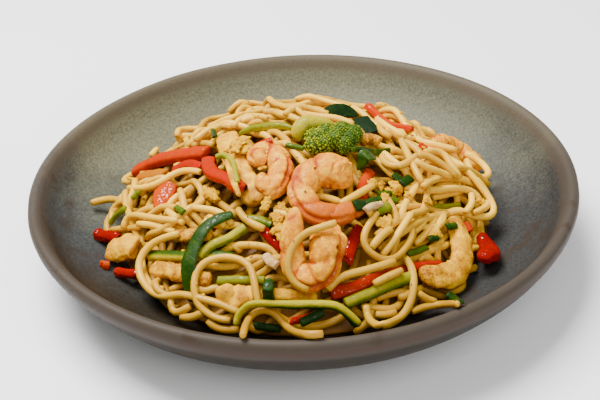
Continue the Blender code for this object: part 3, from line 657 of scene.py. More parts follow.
def noodlePiece(name, strands, finish, chance):
    points, faces, tone, depth = [], [], [], []
    sides = noodleShape["sides"]
    for path, radius, shade in strands:
        start = len(points)
        count = len(path)
        side = None
        phase = chance.uniform(0, 40)
        for k in range(count):
            ahead = Vector(path[min(k + 1, count - 1)] - path[max(k - 1, 0)]).normalized()
            if side is None:
                side = ahead.orthogonal().normalized()
            side = (side - ahead * side.dot(ahead)).normalized()
            other = ahead.cross(side)
            centre = Vector(path[k])
            swell = 1.0 + 0.07 * noise.noise(Vector((phase, k * 0.35, 0.0)))
            tip = 0.86 if k in (0, count - 1) else 1.0
            # how far below the heap's surface the noodle lies, which the finish turns into painted shade
            sunk = (heapHeight(path[k][0], path[k][1]) - path[k][2]) / (8 * mm)
            for j in range(sides):
                turn = 2 * math.pi * j / sides
                out = side * math.cos(turn) + other * math.sin(turn) * 0.93
                points.append(centre + out * (radius * swell * tip))
                tone.append(shade)
                depth.append(sunk)
        for k, way in ((0, -1), (count - 1, 1)):
            near = path[k] + (path[k] - path[k - way]) * 0.12
            points.append(Vector(near))
            tone.append(shade)
            depth.append(0.5)
        faces.extend(tubeFaces(count, sides, start))
    makePiece(name, points, faces, finish, {"tone": tone, "depth": depth})
    print(name, len(strands), "strands", 2 * len(faces), "triangles at most")


# The sauce colour serves both as a sauce stain and as painted shade; deep is painted shade for noodles that
# lie low in the heap
noodleColours = {
    "pale": (0.94, 0.54, 0.028), "gold": (0.575, 0.292, 0.006), "sauceAndShade": (0.25, 0.108, 0.003),
    "deep": (0.14, 0.05, 0.002),
    "speck": (0.03, 0.012, 0.002),
}


def makeNoodleFinish():
    mix = noodleColours
    wheat = Finish("wheatNoodle", {"Subsurface Weight": 0.06, "Subsurface Scale": 0.002,
                                   "Subsurface Radius": (1.0, 0.6, 0.2), "Coat Roughness": 0.16,
                                   "Specular IOR Level": 0.16})
    tone = wheat.stored("tone")
    depth = wheat.stored("depth")
    stain = wheat.grain(11 * mm, 3.0)
    fine = wheat.grain(2.2 * mm, 4.0)
    base = wheat.blend((tone * 0.8 + stain * 0.5 - 0.15).above(0.0, 0.9), mix["pale"], mix["gold"])
    # a sauce stain at random, and painted shade that grows with how deep a noodle lies
    sauceAndShade = (stain * 1.2 + depth * 0.6 + fine * 0.3 - 0.72).above(0.0, 0.6)
    base = wheat.blend(sauceAndShade * 0.8, base, mix["sauceAndShade"])
    # painted shade: noodles that lie deeper under the heap's surface go to the deep colour
    base = wheat.blend(depth.above(0.35, 1.1) * 0.8, base, mix["deep"])
    along = wheat.add("ShaderNodeSeparateXYZ", {}, {"Vector": wheat.place()}, "Y")
    frontShade = (stain * 0.03 - along).above(0.055, 0.1)   # painted shade: the front of the heap, away from the key light, is darkened with the sauce colour
    base = wheat.blend(frontShade * 0.5, base, mix["sauceAndShade"])
    speck = (1.0 - wheat.cells(2.4 * mm).above(0.06, 0.13)) * wheat.grain(12 * mm).above(0.48, 0.6)
    base = wheat.blend(speck * 0.8, base, mix["speck"])
    wheat.wear("Base Color", base)
    wheat.wear("Roughness", 0.32 + fine * 0.22)
    wheat.wear("Coat Weight", (1.0 - depth.above(0.0, 0.5)) * fine.above(0.4, 0.62) * 0.3)
    wheat.relief(fine + wheat.grain(0.7 * mm) * 0.4, 0.00014)
    return wheat


def makeHeapCore(finish):
    # the inside of the heap, only glimpsed between noodles, coloured deep as painted shade
    bpy.ops.mesh.primitive_uv_sphere_add(segments=72, ring_count=40, radius=1.0, location=(0, 0, 0))
    core = bpy.context.object
    core.name = "heapInside"
    for corner in core.data.vertices:
        reach = math.hypot(corner.co.x, corner.co.y)
        x, y = corner.co.x * 90 * mm, corner.co.y * 90 * mm
        low = float(floorHeight(reach * 90 * mm)) + 0.3 * mm
        uneven = 0.8 * mm * noise.noise(Vector((x, y, 0)) * 240)
        high = float(heapHeight(x, y)) - heapShape["coreDepth"] + uneven
        corner.co = (x, y, max(low, high) if corner.co.z > 0 else low)
    bpy.ops.object.shade_smooth()
    # full depth turns the inside to the deep colour, as painted shade
    for key in ("tone", "depth"):
        layer = core.data.attributes.new(key, "FLOAT", "POINT")
        layer.data.foreach_set("value", [1.0] * len(core.data.vertices))
    core.data.materials.append(finish.material)
    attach(core, "root")
    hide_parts("noodles")
    bpy.ops.object.select_all(action="DESELECT")


def underTarget(x, y):
    return heapHeight(x, y) - heapShape["toppingDepth"] - 3.0 * mm


def upperTarget(x, y):
    (spotX, spotY), (spanX, spanY) = heapShape["thinSpot"], heapShape["thinSpan"]
    thin = np.exp(-(((x - spotX) / spanX) ** 2 + ((y - spotY) / spanY) ** 2))
    return heapHeight(x, y) - 3.4 * mm - heapShape["thinBy"] * thin


def makeNoodles(finish):
    chance = random.Random(noodleShape["seed"])
    startLevels()
    under, upper, seen = [], [], []
    scatterStrands(chance, noodleShape["under"], underTarget, 0.0, under)
    scatterStrands(chance, noodleShape["upper"], upperTarget, 9 * mm, upper)
    traceStrands(chance, seen)
    makeHeapCore(finish)
    for name, strands in (("noodlesUnder", under), ("noodlesUpper", upper), ("noodlesSeen", seen)):
        for k in range(0, len(strands), noodleShape["perPiece"]):
            number = str(k // noodleShape["perPiece"] + 1)
            noodlePiece(name + number, strands[k:k + noodleShape["perPiece"]], finish, chance)


# Toppings: each follows its own node in the frame, with its route in millimetres as seen from above

def lumps(seed, along, turns, reach, size, stretch=1.0):
    # soft noise on a tube, without a seam
    start = Vector((seed * 7.31, seed * 2.17, 0.0))
    spots = (Vector((reach * math.cos(t), reach * math.sin(t), along / stretch)) for t in turns)
    return np.array([noise.noise(spot / size + start) for spot in spots])


def nodeTree(name):
    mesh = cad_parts[name].data
    corners = [corner.co.copy() for corner in mesh.vertices]
    return BVHTree.FromPolygons(corners, [tuple(face.vertices) for face in mesh.polygons])


def heightsOn(name, plan):
    tree = nodeTree(name)
    known, heights = [], []
    for k, (x, y) in enumerate(plan):
        top = tree.ray_cast(Vector((x, y, 0.2)), Vector((0, 0, -1)))[0]
        under = tree.ray_cast(Vector((x, y, 0.0)), Vector((0, 0, 1)))[0]
        if top is not None:
            known.append(k)
            heights.append(0.5 * (top.z + under.z))
    z = np.interp(np.arange(len(plan)), known, heights)
    slopeIn = (heights[min(4, len(heights) - 1)] - heights[0]) / max(1, min(4, len(heights) - 1))
    slopeOut = (heights[-1] - heights[max(0, len(heights) - 5)]) / max(1, min(4, len(heights) - 1))
    for k in range(len(plan)):
        if k < known[0]:
            z[k] = heights[0] - slopeIn * (known[0] - k)
        elif k > known[-1]:
            z[k] = heights[-1] + slopeOut * (k - known[-1])
    for _ in range(len(plan) // 6):
        z[1:-1] = 0.25 * z[:-2] + 0.5 * z[1:-1] + 0.25 * z[2:]
    return z


def ringsAlong(path, spec, outline, sides):
    turns = np.linspace(0.0, 2.0 * math.pi, sides, endpoint=False)
    rings, stored = [], {}
    count = len(path)
    for k in range(count):
        share = k / (count - 1)
        ahead = Vector(path[min(k + 1, count - 1)] - path[max(k - 1, 0)]).normalized()
        normal = heapNormal(path[k][0], path[k][1])
        side = ahead.cross(normal).normalized()
        upward = side.cross(ahead)
        lean = math.radians(spec.get("tilt", 0.0) + spec.get("twist", 0.0) * (share - 0.5))
        across = np.array(side * math.cos(lean) + upward * math.sin(lean))
        over = np.array(upward * math.cos(lean) - side * math.sin(lean))
        wide, high, marks = outline(share, turns)
        rings.append(path[k] + np.outer(wide, across) + np.outer(high, over))
        for key, values in marks.items():
            stored.setdefault(key, []).append(values)
    points = np.concatenate(rings + [rings[0].mean(axis=0)[None], rings[-1].mean(axis=0)[None]])
    for key, values in stored.items():
        stored[key] = np.concatenate(values + [[values[0].mean()], [values[-1].mean()]])
    return points, stored


def followNode(name, spec, outline, finish, rings=72, sides=28):
    low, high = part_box(name)
    goal = 0.5 * (np.array(low) + np.array(high))
    drawn = smoothCurve(np.array(spec["path"], float) * mm, rings)
    shift = np.append(goal[:2] - 0.5 * (drawn.min(axis=0) + drawn.max(axis=0)), 0.0)
    for _ in range(3):
        plan = drawn + shift[:2]
        path = np.column_stack([plan, heightsOn(name, plan) + shift[2]])
        points, stored = ringsAlong(path, spec, outline, sides)
        shift += goal - 0.5 * (points.min(axis=0) + points.max(axis=0))
    piece = makePiece(name + "Look", points, tubeFaces(rings, sides, 0), finish, stored)
    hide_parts(name)


def roundedEnd(share, reach, power=2.0):
    # 0 at both ends, 1 along the middle, rounded over this share of the length
    near = min(share, 1.0 - share) / reach
    return 1.0 if near >= 1.0 else max(0.03, (1.0 - (1.0 - near) ** power)) ** (1.0 / power)


def widthAt(share, widths):
    return float(np.interp(share, np.linspace(0.0, 1.0, len(widths)), widths))


# Prawns: peeled, curled on one side, with the slit down the back and orange where the segments meet. Widths
# run from the head end to the tail in millimetres. A burnt spot is a share of the length, degrees from the
# back, and how far it reaches as a share and in degrees.

prawnShapes = {
    "prawn_left": {"path": [(-17.3, -26), (-19.6, -20.5), (-16.5, -15.5), (-11, -19.5), (-9.5, -29),
                            (-12, -36.5), (-16, -37), (-18, -32.5)],
                   "widths": (8, 10, 11, 11.5, 12, 11, 10, 9), "segments": 5, "tail": 0.15, "seed": 3},
    "prawn_middle": {"path": [(20, -35), (11, -30), (2, -34), (-2, -42), (2, -51), (12, -53), (25, -49)],
                     "widths": (15, 17, 15, 13, 12, 11, 9.5, 7), "segments": 6, "tail": 1.0, "seed": 8,
                     "spots": [(0.05, 48, 0.02, 9), (0.3, 100, 0.015, 7), (0.52, 95, 0.02, 6)]},
    "prawn_front": {"path": [(8, -60), (9, -66.5), (6.5, -73.5), (0.5, -75.5), (-4.5, -72), (-5.8, -65.5),
                             (-3.5, -56.5)],
                    "widths": (14.5, 16, 15, 13, 12, 11, 9.5, 7.5), "segments": 6, "tail": 0.2, "seed": 14,
                    "spots": [(0.2, 60, 0.015, 7)]},
    "prawn_right": {"path": [(66, 28), (73, 36), (80, 37), (85.5, 32), (87, 26)],
                    "widths": (8.5, 10.5, 11, 11, 10.5, 9.5), "segments": 5, "tail": 0.1, "seed": 21},
}


def prawnOutline(spec):
    a, b, c = (np.array(spec["path"][k], float) for k in (1, 2, 3))
    leftward = (b - a)[0] * (c - b)[1] - (b - a)[1] * (c - b)[0] > 0
    back = 0.0 if leftward else math.pi      # the back is on the outside of the curl
    length = sum(math.dist(p, q) for p, q in zip(spec["path"], spec["path"][1:]))

    def outline(share, turns):
        half = 0.5 * widthAt(share, spec["widths"]) * mm
        along = share * length
        fromBack = (turns - back + math.pi) % (2.0 * math.pi) - math.pi
        fromBack = fromBack if leftward else -fromBack
        bowed = 0.16 * np.cos(fromBack) + 0.08 * np.sin(2 * fromBack)
        phase = (0.35 + share * spec["segments"] + bowed) % 1.0
        seam = np.exp(-(np.minimum(phase, 1.0 - phase) / 0.09) ** 2)
        ridge = 1.0 + 0.06 * np.sin(math.pi * phase) ** 0.7 - 0.06 * seam
        inShell = min(1.0, share / 0.08, max(0.0, (0.86 - share) / 0.1))
        slit = np.exp(-((fromBack - 0.75) / 0.15) ** 2) * inShell
        lip = np.exp(-((fromBack - 1.05) / 0.2) ** 2) + np.exp(-((fromBack - 0.45) / 0.2) ** 2)
        soft = sum(lumps(spec["seed"] + k, along, turns, 5.0, size) * depth
                   for k, (size, depth) in enumerate(((4.5, 0.08), (1.7, 0.045), (0.8, 0.015))))
        ragged = lumps(spec["seed"] + 3, along, turns, 5.0, 2.4) * 0.35 * max(0.0, 1.0 - share / 0.16)
        reach = half * ridge * (1.0 - 0.2 * slit + 0.04 * lip + soft + ragged) * roundedEnd(share, 0.12)
        belly = 1.0 - 0.1 * np.clip(-np.cos(fromBack), 0.0, 1.0)
        patchy = 0.55 + 1.1 * lumps(spec["seed"] + 5, along, turns, 5.0, 6.0)
        warm = np.clip((seam * 0.75 + slit) * patchy, 0.0, 1.0)
        besideSeam = np.exp(-(np.minimum(phase, 1.0 - phase) / 0.2) ** 2)
        besideSlit = np.exp(-((fromBack - 0.75) / 0.42) ** 2) * inShell
        inside = np.clip(-np.cos(fromBack) - 0.4, 0.0, 1.0)
        glow = np.clip((besideSeam * 0.45 + besideSlit * 0.85 + inside * 0.5) * patchy * 1.2, 0.0, 1.0)
        tail = np.full(len(turns), np.clip((share - 0.52) / 0.14, 0.0, 1.0) * spec["tail"])
        burnt = np.zeros(len(turns))
        for place, angle, long, wide in spec.get("spots", []):
            away = np.hypot((share - place) / long, (fromBack - math.radians(angle)) / math.radians(wide))
            burnt = np.maximum(burnt, np.exp(-away ** 2))
        return reach * belly * np.cos(turns), reach * 0.86 * np.sin(turns), {
            "warm": warm, "glow": glow, "tail": tail, "burnt": burnt}
    return outline


prawnColours = {
    "pale": (0.9, 0.42, 0.01), "body": (0.7, 0.25, 0.001), "blush": (0.5, 0.1, 0.0),
    "mark": (0.36, 0.05, 0.0), "tail": (0.47, 0.1, 0.0), "char": (0.05, 0.01, 0.001),
}


def makePrawnFinish():
    mix = prawnColours
    flesh = Finish("cookedPrawn", {"Subsurface Weight": 0.08, "Subsurface Scale": 0.002,
                                   "Subsurface Radius": (1.0, 0.45, 0.15), "Coat Roughness": 0.08,
                                   "Specular IOR Level": 0.1})
    warm, glow, tail, burnt = (flesh.stored(name) for name in ("warm", "glow", "tail", "burnt"))
    cloud = flesh.grain(4 * mm, 4.0)
    streak = flesh.grain(1.7 * mm, 5.0, distort=1.5)
    base = flesh.blend((cloud + streak * 0.3 - 0.15).above(0.36, 0.56), mix["pale"], mix["body"])
    fleck = flesh.grain(2.8 * mm, 4.0, distort=2.0).above(0.54, 0.62)
    base = flesh.blend(fleck * 0.5, base, mix["tail"])
    base = flesh.blend((glow + cloud * 0.9 - 0.62).above(0.0, 0.5) * 0.9, base, mix["blush"])
    base = flesh.blend((tail * 1.3 + cloud * 0.7 - 0.62).above(0.0, 0.5), base, mix["tail"])
    marks = (warm * 0.8 + streak * 0.9 + cloud * 0.5 - 0.92).above(0.0, 0.22)
    base = flesh.blend(marks * 0.9, base, mix["mark"])
    base = flesh.blend((burnt + streak * 0.8 - 0.75).above(0.0, 0.3) * 0.9, base, mix["char"])
    char = flesh.grain(3.1 * mm, 5.0).above(0.67, 0.72)
    base = flesh.blend(char * 0.6, base, mix["mark"])
    flesh.wear("Base Color", base)
    flesh.wear("Roughness", 0.34 + streak * 0.2)
    flesh.wear("Coat Weight", flesh.grain(0.9 * mm, 2.0).above(0.6, 0.66) * 0.8)
    flesh.relief(streak * 0.8 + flesh.grain(0.6 * mm, 3.0) * 0.3, 0.00032)
    return flesh


# Chicken: torn strips with lengthwise fibres, browned where they met the wok; gold is how brown they are
# along the way

chickenShapes = {
    "chicken_long": {"path": [(-35, 13), (-32, -3), (-28, -20), (-23, -32), (-20, -43)],
                     "widths": (10.5, 12, 11, 10.5, 12.5), "thick": 6.5,
                     "gold": (0.1, 0.1, 0.25, 0.8), "seed": 2},
    "chicken_left": {"path": [(-90, -27), (-84, -30), (-76, -34)],
                     "widths": (10, 12.5, 11), "thick": 7.0, "gold": (0.3, 0.1, 0.2), "seed": 3},
    "chicken_golden": {"path": [(-69, -51), (-54, -62), (-41, -70)],
                       "widths": (6.5, 7.5, 7), "thick": 4.5, "gold": (0.5, 0.6, 0.7), "seed": 4},
    "chicken_brown": {"path": [(-58, -42), (-49, -47), (-40, -50)],
                      "widths": (6, 7, 6.5), "thick": 4.5, "gold": (0.7, 0.9, 0.6), "seed": 5},
    "chicken_front": {"path": [(-34, -78), (-28, -79), (-21, -79)],
                      "widths": (8, 10.5, 8), "thick": 7.0, "gold": (0.4, 0.5, 0.4), "seed": 6},
    "chicken_shred": {"path": [(-17, -79), (-8, -80), (4, -81)],
                      "widths": (5, 5.6, 4), "thick": 3.5, "gold": (0.3, 0.4, 0.4), "seed": 7},
    "chicken_curled": {"path": [(68, -32), (70, -43), (69, -52), (65, -60), (57, -66), (48, -68)],
                       "widths": (8, 10.5, 11, 11.5, 11.5, 9), "thick": 6.5,
                       "gold": (0.7, 0.3, 0.35, 0.5, 0.8), "seed": 8, "ridges": 9},
}


def squared(turns, power):
    # reach of a section that is an oval at power 2 and nears a rectangle as it rises
    return (np.abs(np.cos(turns)) ** power + np.abs(np.sin(turns)) ** power) ** (-1 / power)


def stripeOutline(spec):
    # long pieces whose section is a flat oval, with fibres or ridges along them
    length = sum(math.dist(p, q) for p, q in zip(spec["path"], spec["path"][1:]))
    seed = spec["seed"]

    def outline(share, turns):
        along = share * length
        big = lumps(seed, along, turns, 4.0, 4.5) * 0.2
        fibre = (lumps(seed + 1, along, turns, 4.0, 0.85, 9.0) * 0.09
                 + lumps(seed + 2, along, turns, 4.0, 1.3) * 0.06)
        ridge = 0.045 * math.sin(share * spec.get("ridges", 0) * 2 * math.pi) * np.clip(np.sin(turns), 0, 1)
        nearEnd = max(0.0, 1.0 - min(share, 1 - share) / 0.12)
        ragged = 1.0 + lumps(seed + 3, along, turns, 3.0, 2.2) * 0.25 * nearEnd
        reach = (1.0 + big + fibre + ridge) * ragged * roundedEnd(share, 0.1, 2.6)
        oval = squared(turns, 2.5)
        wide = 0.5 * widthAt(share, spec["widths"]) * mm * reach * oval * np.cos(turns)
        high = 0.5 * spec["thick"] * mm * reach * oval * np.sin(turns)
        gold = np.full(len(turns), widthAt(share, spec["gold"]))
        return wide, high, {"gold": gold, "fibre": 0.5 + 4.0 * fibre}
    return outline


chickenColours = {
    "pale": (0.88, 0.47, 0.008), "body": (0.64, 0.28, 0.001), "fibre": (0.4, 0.16, 0.001),
    "brown": (0.38, 0.14, 0.001), "crust": (0.14, 0.038, 0.001),
}


def makeChickenFinish():
    mix = chickenColours
    meat = Finish("friedChicken", {"Subsurface Weight": 0.06, "Subsurface Scale": 0.002,
                                   "Subsurface Radius": (1.0, 0.5, 0.2), "Coat Roughness": 0.15,
                                   "Specular IOR Level": 0.08})
    gold = meat.stored("gold")
    fibre = meat.stored("fibre")
    cloud = meat.grain(5 * mm, 4.0)
    fine = meat.grain(1.1 * mm, 5.0)
    base = meat.blend(cloud.above(0.3, 0.62), mix["pale"], mix["body"])
    base = meat.blend(fibre.above(0.45, 0.85) * 0.55, base, mix["fibre"])
    brown = (gold * 0.8 + cloud * 1.3 + fine * 0.35 - 1.02).above(0.0, 0.4)
    base = meat.blend(brown * 0.75, base, mix["brown"])
    crust = (gold * 0.45 + fine * 0.9 + cloud * 0.7 - 1.1).above(0.0, 0.18)
    base = meat.blend(crust * 0.85, base, mix["crust"])
    speck = (1.0 - meat.cells(2.1 * mm).above(0.07, 0.15)) * meat.grain(8 * mm).above(0.45, 0.58)
    base = meat.blend(speck * 0.8, base, mix["crust"])
    meat.wear("Base Color", base)
    meat.wear("Roughness", 0.38 + fine * 0.25)
    meat.wear("Coat Weight", fine.above(0.6, 0.68) * 0.4)
    meat.relief(fine * 0.9 + fibre * 0.6, 0.0004)
    return meat


# Peppers: strips with a glossy skin above and paler flesh below. Orange runs from -1, dark red, through 0,
# red, and 1, orange, to 2, baked brown; taper is the width along the way.

pepperShapes = {
    "pepper_back_left": {"path": [(-84, 37), (-70, 26), (-56, 13.5), (-44, 5)], "width": 8.5, "thick": 4.2,
                         "taper": (1.15, 1.05, 0.97, 0.92), "orange": 0.5},
    "pepper_arch": {"path": [(-62, 4), (-54, 3), (-46, -7)], "width": 5.5, "thick": 2.8, "orange": 0.2},
    "pepper_orange": {"path": [(-81, 22), (-72, 12), (-66, 5)], "width": 6.5, "thick": 3.0, "orange": 1.9},
    "pepper_curl": {"path": [(-42, -3), (-41, -13), (-37, -23), (-31, -31), (-25, -39)],
                    "width": 7.0, "thick": 3.2, "tilt": 25.0, "orange": 0.3, "char": 1.0},
    "pepper_hanging": {"path": [(-60, -7), (-64, -13), (-67, -21)], "width": 9.0, "thick": 2.8,
                       "taper": (0.7, 1.05, 1.15, 1.0, 0.6, 0.12), "tilt": 28.0, "orange": 0.9},
    "pepper_left": {"path": [(-98, -10), (-93, -14), (-87, -19)], "width": 5.5, "thick": 3.6,
                    "orange": -1.0},
    "pepper_low_left": {"path": [(-87, -40), (-82, -44), (-76, -48)], "width": 4.0, "thick": 3.0,
                        "orange": -0.6},
    "pepper_thin": {"path": [(-24, -6), (-18, -2), (-13, 0)], "width": 3.6, "thick": 2.6, "orange": 0.4},
    "pepper_back": {"path": [(34, 53), (38, 45), (45, 33), (54, 24)], "width": 5.5, "thick": 3.0,
                    "taper": (1.1, 0.7), "orange": 0.7},
    "pepper_centre": {"path": [(31, -21), (27, -31), (26, -39)], "width": 5.0, "thick": 3.0, "orange": 0.5},
    "pepper_middle": {"path": [(24, -53), (20, -60), (17, -68)], "width": 5.5, "thick": 3.0,
                      "orange": -0.3},
    "pepper_dark": {"path": [(-18, -54), (-13, -60), (-10, -63)], "width": 4.5, "thick": 2.8, "char": 0.5,
                    "orange": -1.5},
    "pepper_right": {"path": [(79, -29), (82, -37), (81, -46), (76, -53)], "width": 8.5, "thick": 4.0,
                     "taper": (0.6, 1.0, 1.1, 0.8), "point": 0.1, "blunt": 2.2, "uneven": 0.03,
                     "orange": -1.0},
    "pepper_front": {"path": [(9, -80), (18, -78), (29, -73), (41, -67), (50, -62), (60, -57)],
                     "width": 5.5, "thick": 3.2, "taper": (1.15, 0.5), "orange": 0.3},
    "pepper_tip": {"path": [(-8, -89), (-2, -88), (4, -87)], "width": 3.4, "thick": 2.6},
}


def cutOutline(spec, seed):
    # a cut strip: nearly square section, slightly dished, ends cut across
    length = sum(math.dist(p, q) for p, q in zip(spec["path"], spec["path"][1:]))

    def outline(share, turns):
        along = share * length
        soft = (1.0 + lumps(seed, along, turns, 2.0, 5.0) * spec.get("uneven", 0.1)
                + lumps(seed + 1, along, turns, 2.0, 1.4) * 0.03)
        shape = squared(turns, spec.get("square", 4.2))
        close = roundedEnd(share, spec.get("point", 0.035), spec.get("blunt", 5.0))
        scale = soft * widthAt(share, spec.get("taper", (1.0, 1.0)))
        wide = 0.5 * spec["width"] * mm * scale * close * shape * np.cos(turns)
        high = 0.5 * spec["thick"] * mm * soft * (0.4 + 0.6 * close) * shape * np.sin(turns)
        dish = 0.2 * spec["thick"] * mm * (1.0 - 2.0 * np.cos(turns) ** 2)
        wave = spec.get("wave", 0.0) * mm * math.sin(along / 2.6 + seed) * np.cos(turns) ** 2
        up = np.sin(turns)
        return wide, high + dish * close + wave, {
            "skin": np.clip(0.5 + 6.0 * (up - 0.62), 0.0, 1.0),
            "edge": np.clip(-np.cos(turns), 0.0, 1.0) ** 2 * spec.get("char", 0.0),
            "orange": np.full(len(turns), spec.get("orange", 0.0)),
            "shade": shadeAt(spec, share, turns)}
    return outline


pepperColours = {
    "red": (0.4, 0.009, 0.0), "deep": (0.28, 0.004, 0.0), "dark": (0.2, 0.002, 0.0),
    "orange": (0.44, 0.045, 0.0), "flesh": (0.42, 0.022, 0.0), "baked": (0.38, 0.12, 0.0),
    "char": (0.02, 0.004, 0.001),
}


def makePepperFinish():
    mix = pepperColours
    red = Finish("redPepper", {"Subsurface Weight": 0.05, "Subsurface Scale": 0.002,
                               "Subsurface Radius": (1.0, 0.2, 0.05), "Coat Roughness": 0.08,
                               "Specular IOR Level": 0.0})
    skin = red.stored("skin")
    orange = red.stored("orange")
    edge = red.stored("edge")
    cloud = red.grain(5 * mm, 3.0)
    fine = red.grain(1.3 * mm, 4.0)
    top = red.blend(cloud.above(0.3, 0.6), mix["red"], mix["deep"])
    top = red.blend((orange + cloud * 0.9 - 0.45).above(0.0, 0.9), top, mix["orange"])
    base = red.blend(skin, mix["flesh"], top)
    base = red.blend((0.0 - orange).clamped(), base, red.blend(skin, mix["deep"], mix["dark"]))
    base = red.blend((orange - 1.0).clamped(), base, mix["baked"])
    base = red.blend((edge * 1.4 + fine * 0.8 - 0.8).above(0.0, 0.3), base, mix["char"])
    base = red.blend(fine.above(0.66, 0.76) * 0.5, base, mix["deep"])
    red.wear("Base Color", base)
    red.wear("Roughness", 0.26 + fine * 0.2)
    red.wear("Coat Weight", red.grain(1.1 * mm, 2.0).above(0.56, 0.62))
    red.relief(fine * 0.8 + cloud * 0.8 + red.grain(0.6 * mm) * 0.3, 0.0003)
    return red


# Greens: shade runs from 0, pale flesh, to 1, the darkest leaf. skinAt is the way that the skin faces in
# degrees, 0 the right hand side of the route and 90 up; from is where along the way it begins.

greenShapes = {
    "courgette_left": {"path": [(-71, -43), (-59, -51), (-50, -56), (-41, -59), (-31, -63)],
                       "width": 5.0, "thick": 3.0, "flesh": 0.16, "skinAt": 150, "skin": 0.75},
    "green_curved": {"path": [(-33, -46), (-39, -48), (-44, -51), (-48, -56), (-51.5, -62), (-53, -67),
                              (-52, -74)],
                     "width": 6.2, "thick": 1.4, "taper": (0.6, 0.85, 0.95, 1.0, 1.1, 1.15, 0.95),
                     "square": 6.0, "flesh": 0.7, "skin": 0.8},
    "celery_strip": {"path": [(-25, -50), (-33, -54), (-40, -56), (-46, -60)],
                     "width": 4.2, "thick": 2.6, "flesh": 0.28, "skinAt": 200, "skin": 0.5},
    "green_hook": {"path": [(-26, -47), (-20, -49), (-14, -52)], "width": 4.6, "thick": 2.2,
                   "flesh": 0.42, "skinAt": 0, "skin": 0.8},
    "green_upright": {"path": [(-16, -74), (-16, -79), (-16, -84)], "width": 4.8, "thick": 1.8,
                      "square": 7.0, "flesh": 0.76, "skin": 0.84},
    "green_light": {"path": [(-39, -70), (-29, -72), (-18, -74)], "width": 4.0, "thick": 2.2,
                    "flesh": 0.36, "skin": 0.45},
    "green_back": {"path": [(-28, 1), (-22, 8), (-15, 11), (-8, 11), (-1, 6)], "width": 4.6, "thick": 2.8,
                   "taper": (0.85, 0.9), "point": 0.4, "blunt": 1.6, "flesh": 0.3, "skin": 0.41},
    "green_on_chicken": {"path": [(-36, -15), (-32, -16), (-28, -23), (-27, -30), (-26, -37)],
                         "width": 3.0, "thick": 1.8, "flesh": 0.3, "skinAt": 0, "skin": 0.45},
    "leaf_back": {"path": [(11, 23), (20, 27), (29, 29)], "width": 8.0, "thick": 1.1, "tilt": -40.0,
                  "flesh": 0.9, "skin": 0.97, "point": 0.4, "blunt": 1.6, "wave": 0.5},
    "leaf_upright": {"path": [(29, 25), (31, 18), (34, 11)], "width": 9.5, "thick": 1.1, "tilt": -25.0,
                     "flesh": 0.97, "skin": 1.06, "wave": 0.4},
    "stalk_back": {"path": [(22, -18.5), (30.5, -10.5), (40.5, -1)], "width": 2.8, "thick": 2.4,
                   "square": 2.0, "flesh": 0.68, "skin": 0.76},
    "leaf_centre": {"path": [(23.5, -21), (28, -20), (32.5, -16)], "width": 7.0, "thick": 1.0,
                    "flesh": 0.62, "skin": 0.76, "point": 0.4, "blunt": 1.5, "wave": 1.0},
    "green_dark": {"path": [(20, -53), (25, -47), (30, -41), (35, -38)], "width": 5.5, "thick": 1.8,
                   "flesh": 0.82, "skin": 0.93},
    "celery_right": {"path": [(59, -29), (66, -24), (73, -18)], "width": 3.0, "thick": 2.4, "square": 2.2,
                     "flesh": 0.3, "skin": 0.42},
    "olive_strip": {"path": [(44, -59), (49, -56), (54, -52)], "width": 3.2, "thick": 2.4,
                    "flesh": 0.5, "skin": 0.62},
    "courgette_front": {"path": [(14, -84), (26, -79), (37, -73), (45, -69)], "width": 5.2, "thick": 3.4,
                        "taper": (0.9, 1.1), "flesh": 0.34, "skinAt": -10, "skin": 0.64},
    "celery_front": {"path": [(-31, -88), (-29, -85), (-19, -85), (-8, -86), (3, -86), (13, -87), (21, -89)],
                     "width": 3.8, "thick": 3.0, "taper": (0.75, 0.8, 1.0, 1.0, 1.0),
                     "flesh": 0.24, "skinAt": -15, "skin": 0.84, "from": 0.36},
    "green_low": {"path": [(-23, -89), (-18, -90), (-12, -91)], "width": 3.4, "thick": 2.0,
                  "flesh": 0.8, "skin": 0.88},
}

onionShapes = {
    "onion_left": {"path": [(-17, -63), (-15, -69), (-12, -73)], "width": 4.0, "thick": 2.2},
    "onion_centre": {"path": [(23, -53), (27, -48), (31, -45)], "width": 3.2, "thick": 2.2},
}


def shadeAt(spec, share, turns):
    facing = np.cos(turns - math.radians(spec.get("skinAt", 90)))
    begun = min(1.0, max(0.0, (share - spec.get("from", 0.0)) * 8.0 + 1.0))
    near = np.clip((facing - 0.1) / 0.5, 0.0, 1.0) * begun
    flesh = spec.get("flesh", 0.0)
    return flesh + (spec.get("skin", flesh) - flesh) * near


bruise = (0.12, 0.07, 0.008)
greenColours = [
    (0.0, (0.62, 0.4, 0.02)), (0.22, (0.36, 0.29, 0.003)), (0.42, (0.18, 0.18, 0.001)),
    (0.6, (0.06, 0.1, 0.002)), (0.8, (0.012, 0.04, 0.002)), (1.0, (0.003, 0.014, 0.002)),
]


def makeGreenFinish():
    leaf = Finish("greenVegetable", {"Subsurface Weight": 0.05, "Subsurface Scale": 0.002,
                                     "Subsurface Radius": (0.6, 1.0, 0.2), "Coat Roughness": 0.1,
                                     "Specular IOR Level": 0.08})
    shade = leaf.stored("shade")
    cloud = leaf.grain(4 * mm, 3.0)
    fine = leaf.grain(1.1 * mm, 4.0)
    toned = (shade + (cloud - 0.5) * 0.3 + (fine - 0.5) * 0.16).clamped()
    base = leaf.add("ShaderNodeValToRGB", {"stops": greenColours}, {"Fac": toned})
    base = leaf.blend(fine.above(0.64, 0.78) * 0.35, base, bruise)
    leaf.wear("Base Color", base)
    leaf.wear("Roughness", 0.28 + fine * 0.24)
    leaf.wear("Coat Weight", leaf.grain(1.6 * mm, 2.0).above(0.56, 0.64) * 0.5)
    leaf.relief(fine * 0.6 + leaf.grain(2.2 * mm, 3.0, distort=1.0), 0.00025)
    return leaf


onionColours = {"pale": (0.62, 0.41, 0.17), "soft": (0.42, 0.24, 0.07)}


